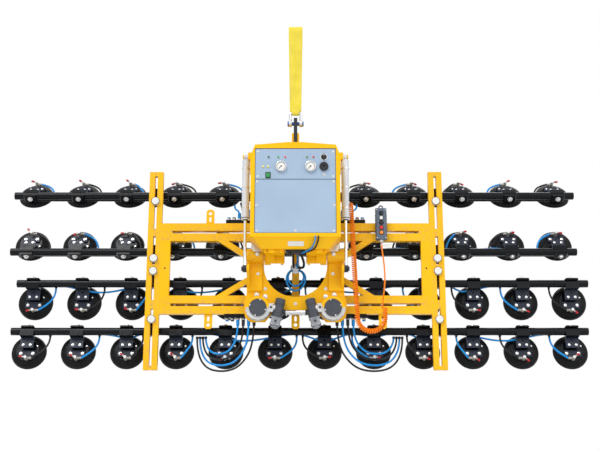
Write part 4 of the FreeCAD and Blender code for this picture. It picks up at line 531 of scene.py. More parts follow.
# Suction rows
TUBE_R = 0.024
TUBE_HALF = 1.8
PAD_Y = 0.057
PAD_DEPTH = 0.038
PAD_Z = 0.105
PAD_R = 0.11
PAD_COUNT = 12
VALVE_Z = 0.163
BRACKET_HALF = 0.042
BRACKET_FRONT = 0.026
HANGER_Y = 0.012
FOOT_BAR_Y = 0.041
PLATE_Y = 0.051
TEE_FAR = 0.135  # pad to its tee, along the row
TEE_NEAR = 0.1
LOOP_END_X = 0.615  # row's middle to the middle of where the lower loops end
LOOP_END_ROOM = 0.06
MAIN_SWING = 0.043
MAIN_HALF = TUBE_HALF - 0.11
MAIN_STEPS = 180
LEVER_TURNS = (0, 38, -12, 24, -34, 8, 44)
PAD_SHARES = ((0, 0), (0.24, 0), (0.26, 0.03), (0.62, 0.03), (0.66, 0.0), (0.73, 0.05), (0.8, 0.14), (0.87, 0.23),
    (0.93, 0.34), (0.965, 0.52), (0.985, 0.68), (1, 0.84), (1, 0.97), (0.99, 1), (0.93, 1), (0.92, 0.97),
    (0.89, 0.75), (0.84, 0.52), (0.78, 0.44), (0.7, 0.4), (0.66, 0.43), (0.6, 0.39), (0.4, 0.37), (0.36, 0.4),
    (0.3, 0.36), (0, 0.36))
# Bolts of a hanger plate and a foot bar: across, Y, Z, radius, height
BRACKET_BOLTS = ((0.022, HANGER_Y, 0.083, 0.0054, 0.005), (0.037, FOOT_BAR_Y, 0.129, 0.0064, 0.006))
# A strap's outline across the row, and a back plate's section
STRAP = ((-0.042, 0.0215), (-0.042, 0.026), (-0.034, 0.032), (0.034, 0.032), (0.042, 0.026), (0.042, 0.0215))
BACK_PLATE = [(0, 0), (0.072, 0), (0.072, 0.0045), (0.0705, 0.006), (0.03, 0.006), (0.028, 0.0045), (0, 0.0045)]
PLATE = material("bracket_plate", (0.018, 0.024, 0.042), 0.4, shade=0.2, scale=12, grain=500, bump=0.1, gloss=0.25)


def pads_along(shift):
    """Each pad's place along its tube, and the side its hose comes from."""
    middle = (PAD_COUNT - 1) / 2
    return [(shift + (i - middle) * PITCH, -1 if i > middle else 1) for i in range(PAD_COUNT)]


def row_tube(bm, shift, at):
    """A tube with its wall showing at both ends."""
    ends = [(TUBE_R - 0.004, 0.06), (TUBE_R - 0.004, 0), (TUBE_R - 0.001, 0), (TUBE_R, 0.001)]
    far = [(r, TUBE_HALF * 2 - along) for r, along in reversed(ends)]
    lathe(bm, (shift - TUBE_HALF, 0, 0), ALONG, [(0, 0.06)] + ends + far + [(0, TUBE_HALF * 2 - 0.06)], 32, at)


def bracket(black, plate, zinc, x, side, at):
    """The saddle and strap on the tube, the hanger plate, the pad's back plate and foot bar, and their bolts."""
    def span(bm, half, y0, y1, z0, z1):
        low, high = sorted((side * z0, side * z1))
        box(bm, (x - half, y0, low), (x + half, y1, high), at)

    span(black, BRACKET_HALF, -BRACKET_FRONT, BRACKET_FRONT, 0, 0.036)
    prism(black, [(x + a, -side * b) for a, b in STRAP], -BRACKET_FRONT, BRACKET_FRONT, at)
    span(black, 0.026, 0.018, PLATE_Y, 0.062, 0.096)
    lathe(black, (x, PAD_Y, side * PAD_Z), FRONT, BACK_PLATE, 40, at)
    span(plate, BRACKET_HALF, HANGER_Y, 0.02, 0.024, 0.102)
    span(plate, 0.054, FOOT_BAR_Y, PLATE_Y, 0.108, 0.15)
    lathe(black, (x, HANGER_Y, side * 0.056), FRONT, [(0.0075, 0), (0.0075, 0.0006), (0, 0.0006)], 18, at)
    for across, y, z, radius, height in BRACKET_BOLTS:
        for reach in (-across, across):
            bolt(zinc, (x + reach, y, side * z), FRONT, radius, height, at)
    screw(zinc, (x + 0.058, PLATE_Y, side * 0.078), FRONT, 0.0055, 0.005, at)
    bolt(zinc, (x, 0, -side * 0.0318), (0, 0, -side), 0.011, 0.0132, at)


def valve(steel, red, caps, x, side, way, turn, at):
    """A pad's shut-off valve: threaded foot, body, elbow with its nut, and a lever."""
    z = side * VALVE_Z
    lathe(steel, (x, PLATE_Y, z), FRONT, [(0.0125, 0), (0.0125, 0.006), (0, 0.006)], 6, at)
    lathe(steel, (x, PLATE_Y, z), FRONT, [(0.0075, 0.005), (0.0075, 0.011), (0.0105, 0.013), (0.0105, 0.029),
        (0.0085, 0.032), (0.0045, 0.032), (0.0045, 0.0385), (0, 0.0385)], 18, at)
    lathe(steel, (x, 0.03, z), (way, 0, 0), [(0.0082, 0.006), (0.0082, 0.02), (0.007, 0.022), (0.0085, 0.0225),
        (0.0085, 0.0335), (0.0066, 0.034), (0, 0.034)], 18, at)
    lever = at @ Matrix.Translation((x, 0, z)) @ Matrix.Rotation(radians(turn), 4, "Y")
    low, high = sorted((-way * 0.024, way * 0.006))
    box(steel, (low, 0.0105, -0.0045), (high, 0.016, 0.0045), lever)
    tip, neck = sorted((-way * 0.04, -way * 0.02))
    box(red, (tip, 0.009, -0.0055), (neck, 0.017, 0.0055), lever)
    lathe(caps, (x, 0.0118, z), FRONT, [(0.0092, 0), (0.0092, 0.004), (0.0078, 0.0058), (0.003, 0.0062), (0, 0.0062)],
        20, at)


def tee_reach(number, x, way, shift):
    """How far along the row from a pad its tee sits: nearer where a clamp or a loop's end needs the room."""
    far = x + way * TEE_FAR
    loop_end = number == 4 and abs(abs(far - shift) - LOOP_END_X) < LOOP_END_ROOM
    return TEE_NEAR if loop_end or abs(abs(far) - RAIL_X) < 0.09 else TEE_FAR


def main_dip(x, tees, shift, lowest):
    """How far a main swings out from behind its tube between two tees, and not at a clamp or where the loops end."""
    gaps = [(a, b) for a, b in zip(tees, tees[1:]) if a < x < b]
    if not gaps:
        return 0
    a, b = gaps[0]
    room = abs(abs(x) - RAIL_X) - 0.07
    if lowest:
        room = min(room, abs(abs(x - shift) - LOOP_END_X) - LOOP_END_ROOM)
    clear = min(1, max(0, room / 0.11))
    return MAIN_SWING * sin(pi * (x - a) / (b - a)) ** 2 * clear * clear * (3 - 2 * clear)


def tee(bm, x, side, at):
    """The push-in tee where a branch leaves a main."""
    z = side * MAIN_Z
    lathe(bm, (x - 0.016, MAIN_Y, z), ALONG, [(0.0062, 0), (0.0078, 0.001), (0.0078, 0.009), (0.007, 0.01),
        (0.007, 0.022), (0.0078, 0.023), (0.0078, 0.031), (0.0062, 0.032)], 16, at)
    lathe(bm, (x, MAIN_Y, z), (0, 0, side), [(0.0066, 0.004), (0.0066, 0.009), (0.0078, 0.0095), (0.0078, 0.0165),
        (0.0062, 0.017)], 16, at)


for number, rise, side, lean, shift in ROWS:
    at = row_frame(rise, lean)
    body = "row_%d" % number
    black, plate, zinc, steel, red, caps, rubber, tees = meshes(8)
    row_tube(black, shift, at)
    pads = [(x, way, tee_reach(number, x, way, shift)) for x, way in pads_along(shift)]
    for i, (x, way, reach) in enumerate(pads):
        bracket(black, plate, zinc, x, side, at)
        valve(steel, red, caps, x, side, way, LEVER_TURNS[(i * 5 + number * 3) % len(LEVER_TURNS)], at)
        lathe(rubber, (x, PAD_Y, side * PAD_Z), BACK, [(r * PAD_R, y * PAD_DEPTH) for r, y in PAD_SHARES], 48, at)
        tee(tees, x + way * reach, side, at)
    for name, bm, mat, bevel in (("_tube_and_brackets", black, BLACK, 0.0012), ("_plates", plate, PLATE, 0.0015),
            ("_bolts", zinc, ZINC, 0), ("_valves", steel, VALVE, 0), ("_levers", red, LEVER_RED, 0.001),
            ("_valve_caps", caps, WHITE, 0)):
        piece(body + name, bm, mat, body, bevel=bevel, parts=(body + "_bar",))
    piece(body + "_pad_rubber", rubber, RUBBER, body, parts=(body + "_pads",), angle=28)
    piece(body + "_tees", tees, PLASTIC, body)
    for turn, (colour, mat) in enumerate((("blue", BLUE_HOSE), ("black", BLACK_HOSE))):
        bm = bmesh.new()
        fed = [pad for i, pad in enumerate(pads) if (i + number + 1) % 2 == turn]
        tee_xs = [x + way * reach for x, way, reach in fed]
        steps = [shift - MAIN_HALF + MAIN_HALF * 2 * k / MAIN_STEPS for k in range(MAIN_STEPS + 1)]
        dip = [0 if turn else main_dip(x, tee_xs, shift, number == 4) for x in steps]
        tube(bm, [at @ Vector((x, MAIN_Y, side * (-MAIN_Z if turn else MAIN_Z + d))) for x, d in zip(steps, dip)],
            HOSE)
        for x, way, reach in fed:
            points = [(x + way * reach, MAIN_Y, side * 0.014), (x + way * (reach + 0.004), 0.028, side * 0.062),
                (x + way * (reach - 0.035), 0.018, side * 0.128), (x + way * 0.034, 0.03, side * VALVE_Z)]
            tube(bm, route([at @ Vector(p) for p in points]), HOSE)
        piece("%s_hoses_%s" % (body, colour), bm, mat, body, parts=(body + "_hoses",), angle=60)

# White knobs on the rails
KNOB_OFFSET = 0.062
for number, rise, side, lean, shift in ROWS:
    bm = bmesh.new()
    for x in (-RAIL_X, RAIL_X):
        lathe(bm, (x, FRAME_Y - 0.0002, SLEW_Z + rise - side * KNOB_OFFSET), FRONT, [(0.0262, 0), (0.0262, 0.01),
            (0.0245, 0.0142), (0.0215, 0.0162), (0.012, 0.0172), (0.0112, 0.0168), (0.004, 0.0168), (0.003, 0.0174),
            (0, 0.0176)], 32)
    piece("row_%d_knobs" % number, bm, WHITE, "row_%d_carriage" % number)

# Dark eyes on the actuator rods
EYE_TOP = -1.528
rods = NODES["actuator_rods"]
rods.data.materials.append(DARK)
for face in rods.data.polygons:
    if (rods.matrix_world @ face.center).z < EYE_TOP:
        face.material_index = 1

# Control panel: lamps, gauges, sounder, selector, switch, screws and lock
FACE = -0.116
SELECTOR_X = 0.172
SELECTOR_FACE = -0.134
MARK_HALF = 0.0011
LOCK_X = 0.174
LOCK_Z = -1.008
GAUGE_XS = (-0.087, 0.091)
UPPER = PIVOT.z + 0.562
LOWER = PIVOT.z + 0.501
LAMPS = {"dark_green": (DARK_GREEN, ((-0.162, UPPER),)), "green": (GREEN, ((-0.104, UPPER), (0.07, UPPER))),
    "red": (RED_LENS, ((-0.062, UPPER), (0.109, UPPER))), "amber": (AMBER, ((-0.195, LOWER), (-0.165, LOWER)))}
bezels = bmesh.new()
for name, (mat, places) in LAMPS.items():
    bm = bmesh.new()
    for x, z in places:
        lathe(bm, (x, FACE, z), FRONT, [(0.0066, 0), (0.0066, 0.0042), (0.006, 0.0056), (0.0045, 0.0065),
            (0.0022, 0.0069), (0, 0.007)], 28)
        lathe(bezels, (x, FACE, z), FRONT, [(0.008, 0), (0.008, 0.0022), (0.0074, 0.0032), (0.0067, 0.0032),
            (0.0067, 0.0005)], 28)
    piece("lamp_lenses_" + name, bm, mat, parts=("lamps_and_sounder",))
piece("lamp_bezels", bezels, ZINC, parts=("lamps_and_sounder",))

sounder = bmesh.new()
lathe(sounder, (SELECTOR_X, FACE, LOWER), FRONT, [(0.027, 0), (0.027, 0.004), (0.0262, 0.005), (0.0262, 0.0062),
    (0.027, 0.0072), (0.027, 0.0105), (0.0255, 0.012), (0.0215, 0.012), (0.0205, 0.0105), (0.0178, 0.0105),
    (0.0168, 0.012), (0.0125, 0.012), (0.009, 0.0105), (0.009, 0.006), (0, 0.006)], 48)
for across in (-0.0045, 0, 0.0045):
    x = SELECTOR_X + across
    box(sounder, (x - 0.0008, FACE - 0.0095, LOWER - 0.0088), (x + 0.0008, FACE - 0.008, LOWER + 0.0088))
piece("sounder_case", sounder, PLASTIC, parts=("lamps_and_sounder",))

cases, dials, marks, zones = meshes(4)
DIAL_Y = FACE - 0.009
ZONE = ((0.0258, 0.00005), (0.0258, 0.0003), (0.0276, 0.0003), (0.0276, 0.00005))
for x in GAUGE_XS:
    at = Vector((x, FACE, LOWER))
    lathe(cases, at, FRONT, [(0.033, 0), (0.033, 0.003), (0.0322, 0.0036), (0.0322, 0.006), (0.033, 0.0066),
        (0.033, 0.0135), (0.0325, 0.0152), (0.0312, 0.016), (0.0294, 0.016), (0.0286, 0.015), (0.0286, 0.007)], 64)
    lathe(dials, at, FRONT, [(0.0288, 0.008), (0.0288, 0.0088), (0.0284, 0.009), (0, 0.009)], 48)
    for k in range(31):
        turn = Matrix.Translation((x, DIAL_Y, LOWER)) @ Matrix.Rotation(radians(9 * k - 135), 4, "Y")
        inner, half = (0.02, 0.0005) if k % 5 == 0 else (0.0226, 0.00028)
        box(marks, (-half, -0.00025, inner), (half, 0.0001, 0.0252), turn)
    arc = [radians(a) for a in range(90, 136, 3)]
    rims = [[zones.verts.new((x + r * sin(a), DIAL_Y - y, LOWER + r * cos(a))) for a in arc] for r, y in ZONE]
    for a, b in zip(rims, rims[1:]):
        for i in range(len(arc) - 1):
            zones.faces.new((a[i], a[i + 1], b[i + 1], b[i]))
piece("gauge_cases", cases, STEEL, parts=("vacuum_gauges",))
piece("gauge_dials", dials, DIAL, parts=("vacuum_gauges",))
piece("gauge_marks", marks, BLACK)
piece("gauge_zones", zones, RED)

plate, mark, rim, ribs = meshes(4)
lathe(plate, (SELECTOR_X, FACE, UPPER), FRONT, [(0.0225, 0), (0.0225, 0.0008), (0.0221, 0.0012), (0.0182, 0.0012),
    (0.018, 0)], 44)
piece("selector_plate", plate, ZINC)
box(mark, (SELECTOR_X - MARK_HALF, SELECTOR_FACE - 0.0008, UPPER + 0.003),
    (SELECTOR_X + MARK_HALF, SELECTOR_FACE, UPPER + 0.0135))
lathe(mark, (SELECTOR_X, SELECTOR_FACE, UPPER + 0.0135), FRONT, [(0.0018, 0), (0.0018, 0.0006), (0.0012, 0.0009),
    (0, 0.0009)], 14)
piece("selector_mark", mark, WHITE, "selector", bevel=0.0002)

SWITCH_X = -0.165
SWITCH_Z = PIVOT.z + 0.447
border(rim, (SWITCH_X - 0.0158, SWITCH_Z - 0.0188), (SWITCH_X + 0.0158, SWITCH_Z + 0.0188), 0.0046, FACE - 0.0035,
    FACE)
piece("switch_frame", rim, PLASTIC, bevel=0.0008)
for up in (-0.01, -0.0075, -0.005, 0.005, 0.0075, 0.01):
    box(ribs, (SWITCH_X - 0.0075, FACE - 0.0087, SWITCH_Z + up - 0.0006),
        (SWITCH_X + 0.0075, FACE - 0.0078, SWITCH_Z + up + 0.0006))
piece("switch_ribs", ribs, GREEN, "power_switch", bevel=0.0003)

screws, lock, keyhole_shade, gap_shade = meshes(4)
PANEL_SCREWS = [(way * x, z) for way in (-1, 1) for x, z in ((0.228, -0.864), (0.228, -1.02), (0.232, -1.053),
    (0.233, -1.2), (0.23, -1.357))]
for x, z in PANEL_SCREWS + [(0, -1.357)]:
    lathe(screws, (x, FACE, z), FRONT, [(0.0078, 0), (0.0078, 0.0007), (0.0074, 0.001), (0, 0.001)], 20)
    screw(screws, (x, FACE - 0.0008, z), FRONT, 0.0052, 0.0032)
piece("panel_screws", screws, ZINC)
lathe(lock, (LOCK_X, FACE, LOCK_Z), FRONT, [(0.0095, 0), (0.0095, 0.002), (0.0085, 0.003), (0.0062, 0.003),
    (0.0058, 0.0022), (0, 0.0022)], 30)
piece("panel_lock", lock, STEEL)
# Black keyhole on the lock: painted shade of the hole
box(keyhole_shade, (LOCK_X - 0.0006, FACE - 0.0026, LOCK_Z - 0.0042),
    (LOCK_X + 0.0006, FACE - 0.0018, LOCK_Z + 0.0032))
lathe(keyhole_shade, (LOCK_X, FACE - 0.0018, LOCK_Z + 0.0018), FRONT, [(0.0016, 0), (0.0016, 0.0008), (0, 0.0008)], 16)
piece("panel_lock_keyhole_shade", keyhole_shade, BLACK)
# Dark rubber strips round the panel and across its split line: painted shade of the gaps there
border(gap_shade, (-0.245, -1.372), (0.245, -0.843), 0.0025, FACE - 0.0022, FACE + 0.0002)
box(gap_shade, (-0.2425, FACE - 0.0022, -1.039), (0.2425, FACE + 0.0002, -1.037))
piece("panel_gap_shade", gap_shade, RUBBER, bevel=0.0005)

# Sling: a woven belt round the bow's crown and the hook, gathered in the bow, with a crease and stitching
def webbing(name, colour):
    mat = material(name, colour, 0.72, scale=14, grain=900, bump=0.25)
    nt = mat.node_tree
    where = nt.nodes.new("ShaderNodeTexCoord").outputs["Object"]
    weave = nt.nodes.new("ShaderNodeMath")
    weave.operation = "MULTIPLY"
    for socket, direction, scale in ((0, "X", 105), (1, "Z", 150)):
        wave = nt.nodes.new("ShaderNodeTexWave")
        wave.bands_direction = direction
        wave.inputs["Scale"].default_value = scale
        nt.links.new(where, wave.inputs["Vector"])
        nt.links.new(wave.outputs["Fac"], weave.inputs[socket])
    relief = nt.nodes.new("ShaderNodeBump")
    relief.inputs["Strength"].default_value = 0.55
    relief.inputs["Distance"].default_value = 0.0012
    bsdf = nt.nodes["Principled BSDF"]
    nt.links.new(bsdf.inputs["Normal"].links[0].from_socket, relief.inputs["Normal"])
    nt.links.new(weave.outputs[0], relief.inputs["Height"])
    nt.links.new(relief.outputs["Normal"], bsdf.inputs["Normal"])
    return mat


SLING = webbing("lemon_webbing", (0.82, 0.66, 0.045))
THREAD = webbing("pale_thread", (0.86, 0.8, 0.42))
CROWN_Z = -0.575
HOOK_Z = -0.034
BELT_LOW = 0.0125
BELT_TOP = 0.0375
belt_lean = -(BELT_TOP - BELT_LOW) / (HOOK_Z - CROWN_Z)
belt_out = sqrt(1 - belt_lean ** 2)


def belt_half(z):
    """Half the belt's width at a height: gathered in the bow, then spread, then a little wider to the hook."""
    share = min(1, max(0, (z - CROWN_Z + 0.004) / 0.024))
    spread = share * share * (3 - 2 * share)
    rise = min(1, max(0, (z - CROWN_Z - 0.02) / 0.487))
    return 0.021 + 0.015 * spread + 0.008 * rise


def belt_stations():
    """Places round the belt, each with the way out from it, both in Y and Z."""
    slant = asin(belt_lean)
    stations = []
    for i in range(13):
        a = -pi - slant + (pi + 2 * slant) * i / 12
        stations.append((BELT_LOW * cos(a), CROWN_Z + BELT_LOW * sin(a), cos(a), sin(a)))
    foot = (belt_out * BELT_LOW, CROWN_Z + belt_lean * BELT_LOW)
    head = (belt_out * BELT_TOP, HOOK_Z + belt_lean * BELT_TOP)
    leg = [(foot[0] + (head[0] - foot[0]) * k / 90, foot[1] + (head[1] - foot[1]) * k / 90) for k in range(1, 90)]
    stations += [(y, z, belt_out, belt_lean) for y, z in leg]
    for i in range(21):
        a = slant + (pi - 2 * slant) * i / 20
        stations.append((BELT_TOP * cos(a), HOOK_Z + BELT_TOP * sin(a), cos(a), sin(a)))
    return stations + [(-y, z, -belt_out, belt_lean) for y, z in reversed(leg)]


ACROSS = 22
BELT_THICK = 0.003  # half the belt's thickness
belt, stitches = meshes(2)
rings = []
for y, z, out_y, out_z in belt_stations():
    half = belt_half(z)
    gather = max(0, 1 - (z - CROWN_Z) / 0.16) if z > CROWN_Z else 1
    ring = []
    for side in (1, -1):
        for i in range(ACROSS + 1):
            u = (-1 + 2 * i / ACROSS) * side
            middle = 0.1 * sin(14 * z) + 0.05 * sin(37 * z + 1)
            depth = 0.4 + 0.6 * min(1, max(0, (z - CROWN_Z) / 0.05))
            crease = 0.0024 * exp(-((u - middle) / 0.1) ** 2) * depth
            ripple = 0.0009 * gather * cos(9 * u) + 0.0004 * sin(5 * u + 21 * z)
            edge = 1 - abs(u) ** 10 * 0.7
            off = side * BELT_THICK * edge - crease + ripple
            ring.append(belt.verts.new((half * u, y + out_y * off, z + out_z * off)))
    rings.append(ring)
for a, b in zip(rings, rings[1:] + rings[:1]):
    for i in range(len(a)):
        j = (i + 1) % len(a)
        belt.faces.new((a[i], a[j], b[j], b[i]))
piece("sling_webbing", belt, SLING, "shackle", parts=("sling",), angle=60)
for way in (-1, 1):
    for share in (-0.78, -0.7, 0.7, 0.78):
        for k in range(46):
            z = -0.105 - 0.0085 * k
            y = BELT_LOW + (BELT_TOP - BELT_LOW) * (z - CROWN_Z) / (HOOK_Z - CROWN_Z) + 0.0034
            x = share * belt_half(z)
            points = [(x, way * (y - 0.0012), z), (x, way * y, z - 0.0012), (x, way * y, z - 0.0044),
                (x, way * (y - 0.0012), z - 0.0056)]
            tube(stitches, points, 0.0006, 5)
piece("sling_stitching", stitches, THREAD, "shackle", angle=60)

# Yoke, slewing drives and their bolts
def front_of(name):
    """Finds where a node's surface is first met from the front at x and z."""
    obj = NODES[name]
    tree = BVHTree.FromPolygons([obj.matrix_world @ v.co for v in obj.data.vertices],
        [p.vertices for p in obj.data.polygons])
    return lambda x, z: tree.ray_cast(Vector((x, -1, z)), Vector(BACK))[0]


DRIVE_X = 0.2275
DRIVE_Z = -1.7862
MOTOR_LEAN = radians(13)
MOTOR_X = 0.101
MOTOR_Y = 0.108
MOTOR_Z = -1.786
MOTOR_HALF = 0.06
CROSS_Z = -1.812
CAP_SCREWS = 0.049  # drive's axis to the screws in its cap
PLATE_FRONT = 0.145
yoke_at = front_of("yoke_frame")
bolts, bosses, caps, rim_screws, castings, barrels, units, windows, cross, collars = meshes(10)
# Bolts beside a drive and along an arm, with the radius and height of their heads
YOKE_BOLTS = ((DRIVE_X + 0.01, DRIVE_Z + 0.089, 0.0095, 0.009), (DRIVE_X - 0.043, DRIVE_Z + 0.078, 0.0095, 0.009),
    (DRIVE_X - 0.086, DRIVE_Z + 0.023, 0.0095, 0.009), (0.23, -1.57, 0.0068, 0.007), (0.185, -1.66, 0.0068, 0.007),
    (0.1, -1.73, 0.0068, 0.007), (0.232, -1.457, 0.0085, 0.008))
# The casting round the lower half of a gearbox, inside its flange's circle
CASTING = ((0.074, 0.006), (0.0765, -0.015), (0.065, -0.043), (0.04, -0.067), (0, -0.078), (-0.04, -0.067),
    (-0.065, -0.043), (-0.0765, -0.015), (-0.074, 0.006))
for way in (-1, 1):
    for x, z, radius, height in YOKE_BOLTS:
        bolt(bolts, yoke_at(way * x, z), FRONT, radius, height)
    axle = (way * DRIVE_X, PLATE_FRONT, DRIVE_Z)
    lathe(bosses, axle, FRONT, [(0.078, 0), (0.078, 0.012), (0.0765, 0.014), (0.0725, 0.014), (0.072, 0.015),
        (0.072, 0.0555), (0.0695, 0.058), (0, 0.058)], 64)
    lathe(caps, axle, FRONT, [(0.0515, 0.056), (0.053, 0.059), (0.053, 0.0675), (0.0505, 0.07), (0.047, 0.07),
        (0.046, 0.0692), (0.04, 0.0692), (0.0392, 0.07), (0.012, 0.07), (0.0112, 0.0706), (0.006, 0.0706),
        (0.0052, 0.07), (0, 0.07)], 64)
    for k in range(4):
        a = radians(72.7 + 90 * k)
        place = (way * (DRIVE_X - CAP_SCREWS * cos(a)), 0.0752, DRIVE_Z + CAP_SCREWS * sin(a))
        screw(rim_screws, place, FRONT, 0.0046, 0.0036)
    prism(castings, [(way * (DRIVE_X + x), DRIVE_Z + z) for x, z in CASTING][::way], 0.096, PLATE_FRONT)
    prism(castings, [(way * (DRIVE_X + x * 0.95), DRIVE_Z - 0.004 + z * 0.9) for x, z in CASTING][::way], 0.0866,
        0.099)
    down = Vector((way * sin(MOTOR_LEAN), 0, -cos(MOTOR_LEAN)))
    top = Vector((way * MOTOR_X, MOTOR_Y, MOTOR_Z)) - down * MOTOR_HALF
    tilted = Matrix.Rotation(-way * MOTOR_LEAN, 4, "Y")
    lathe(barrels, top, down, [(0, 0), (0.018, 0), (0.019, 0.0012), (0.024, 0.0012), (0.0285, 0.0036),
        (0.0305, 0.008), (0.031, 0.012), (0.031, 0.038), (0.0294, 0.0392), (0.0294, 0.0422), (0.031, 0.0434),
        (0.031, 0.053), (0.0302, 0.0536), (0.0302, 0.0556), (0.031, 0.0562), (0.031, 0.085), (0.034, 0.087),
        (0.034, 0.118), (0.0325, 0.12), (0, 0.12)], 48)
    for along, half_x, half_y, half_z in ((0.1235, 0.034, 0.0335, 0.0045), (0.148, 0.0285, 0.03, 0.022),
            (0.163, 0.032, 0.0255, 0.0055)):
        place = Matrix.Translation(top + down * along) @ tilted
        box(units, (-half_x, -half_y, -half_z), (half_x, half_y, half_z), place)
    lathe(units, top, down, [(0.025, 0.169), (0.025, 0.18), (0.0225, 0.1835), (0.013, 0.184), (0.012, 0.188),
        (0, 0.188)], 32)
    beside = Matrix.Translation((way * 0.148, MOTOR_Y, DRIVE_Z))
    lathe(castings, (way * 0.11, MOTOR_Y, DRIVE_Z), (way, 0, 0), [(0, 0), (0.0225, 0), (0.0235, 0.001),
        (0.0235, 0.052), (0, 0.052)], 40)
    box(castings, (-0.0125, -0.0255, -0.0255), (0.0125, 0.0255, 0.0255), beside)
    for place, across, front in ((Matrix.Translation(top + down * 0.146) @ tilted, 0.019, -0.03),
            (beside, 0.0085, -0.0255)):
        lathe(windows, (0, front, 0.002), FRONT, [(0.008, -0.001), (0.008, 0.0014), (0.0072, 0.0022),
            (0.0048, 0.0022), (0.0044, 0.001), (0, 0.001)], 28, place)
        for x, z in ((-across, -0.018), (across, -0.018), (-across, 0.018), (across, 0.018)):
            screw(rim_screws, (x, front, z), FRONT, 0.003, 0.0026, place)
    lathe(collars, (way * 0.074, MOTOR_Y, CROSS_Z), (-way, 0, 0), [(0.01, 0), (0.0165, 0), (0.0172, 0.001),
        (0.0172, 0.013), (0.0162, 0.0145), (0.014, 0.0145)], 40)
lathe(cross, (-0.073, MOTOR_Y, CROSS_Z), ALONG, [(0, 0), (0.0142, 0), (0.015, 0.001), (0.015, 0.057), (0.0145, 0.058),
    (0.0145, 0.088), (0.015, 0.089), (0.015, 0.145), (0.0142, 0.146), (0, 0.146)], 40)
bolt(bolts, yoke_at(0, -1.753), FRONT, 0.0068, 0.007)
piece("yoke_bolts", bolts, ZINC, "yoke", bevel=0.0004)
DRIVES = {
    "drive_gearboxes": (("drive_bosses", bosses, YELLOW, 0), ("drive_castings", castings, CAST, 0.004),
        ("drive_cross_tube", cross, STEEL, 0), ("drive_collars", collars, DARK, 0)),
    "drive_motors": (("drive_caps", caps, MOTOR, 0), ("drive_screws", rim_screws, ZINC, 0),
        ("motor_barrels", barrels, MOTOR, 0), ("motor_gear_units", units, GEAR_GREY, 0.0035),
        ("motor_windows", windows, MOTOR, 0)),
}
for node, pieces in DRIVES.items():
    for name, bm, mat, bevel in pieces:
        piece(name, bm, mat, "yoke", bevel=bevel, parts=(node,))

# Under the housing: lips before the legs, bracket plates, a gland plate, cables and a blank plate on the hopper
HOUSING_FOOT = -1.4562
# A lip's reach in X and Y, and its foot
LIPS = ((0.066, 0.187, -0.04, 0.05, -1.474), (0.08, 0.092, -0.05, -0.036, -1.478),
    (0.124, 0.162, -0.052, -0.036, -1.478), (0.176, 0.186, -0.05, -0.036, -1.478),
    (0.066, 0.187, 0.063, 0.069, -1.519), (0.126, 0.178, 0.053, 0.064, -1.513), (0.106, 0.114, 0.055, 0.064, -1.508),
    (0.072, 0.08, 0.055, 0.064, -1.513))
lips, glands, plates, blank = meshes(4)
for way in (-1, 1):
    for x0, x1, y0, y1, z0 in LIPS:
        low, high = sorted((way * x0, way * x1))
        box(lips, (low, y0, z0), (high, y1, HOUSING_FOOT))
    prism(plates, [(way * x, z) for x, z in ((0.203, -1.3945), (0.268, -1.3945), (0.268, -1.424), (0.256, -1.445),
        (0.203, -1.445))][::way], 0.0585, 0.064)
    bolt(plates, (way * 0.252, 0.0585, -1.412), FRONT, 0.005, 0.005)
box(glands, (-0.058, -0.045, -1.468), (0.058, 0.04, HOUSING_FOOT))
for x, y in ((-0.034, -0.01), (0.034, -0.024), (0.045, 0.012)):
    lathe(glands, (x, y, -1.468), DOWN, [(0.01, -0.001), (0.01, 0.004), (0.0075, 0.005), (0.0075, 0.008), (0, 0.008)],
        6)
SLOPE = Vector((0, 0.049, -0.062)).normalized()
OUT = Vector((0, SLOPE.z, -SLOPE.y))
on_hopper = Matrix(((1, 0, 0, 0.003), (0, -OUT.y, -SLOPE.y, -0.0861), (0, -OUT.z, -SLOPE.z, -1.4293), (0, 0, 0, 1)))
box(blank, (-0.0475, -0.0012, -0.0155), (0.0475, 0.0006, 0.0155), on_hopper)
for x in (-0.043, 0.043):
    lathe(blank, (x, -0.0012, 0), FRONT, [(0.0022, 0), (0.0018, 0.0008), (0, 0.001)], 14, on_hopper)
piece("leg_lips", lips, YELLOW, bevel=0.0015)
piece("bracket_plates", plates, ZINC, bevel=0.0008)
piece("gland_plate", glands, PLASTIC, bevel=0.001)
piece("hopper_blank_plate", blank, WHITE, bevel=0.0003)
for name, mat, x, sag in (("front_cable_grey", BLUE_HOSE, 0.1195, 0),
        ("front_cable_black", BLACK_HOSE, 0.137, 0.003)):
    points = [(x, -0.115, -1.388), (x, -0.126, -1.396), (x - 0.001, -0.119, -1.418 - sag),
        (x - 0.02, -0.083, -1.458 - sag), (x - 0.062, -0.048, -1.472), (0.045 if sag else 0.034, -0.02, -1.474)]
    hose(name, points, 0.0045, mat, ("carrier",), "supply_hoses", "stiff", "loose", 10)
hose("supply_bundle", [(0.034, 0, -1.47), (0.041, 0.05, -1.486), (0.054, 0.12, -1.505), (0.048, 0.176, -1.528),
    (0.016, 0.208, SLEW_Z)], 0.0075, BLACK_HOSE, ("carrier", "yoke"), "supply_hoses", "stiff")
for name, reach, fall in (("union_loop_outer", 0.06, 0.148), ("union_loop_inner", 0.05, 0.118)):
    z = SLEW_Z
    points = [(-0.02, 0.224, z - 0.012), (-reach * 0.8, 0.205, z - 0.03), (-reach, 0.196, z - fall * 0.62),
        (-reach * 0.45, 0.196, z - fall), (reach * 0.45, 0.196, z - fall), (reach * 1.1, 0.196, z - fall * 0.6),
        (reach * 0.9, 0.205, z - 0.03), (0.02, 0.224, z - 0.012)]
    hose(name, points, HOSE, BLUE_HOSE, ("pad_frame",), "loop_hoses", "medium", "hanging")

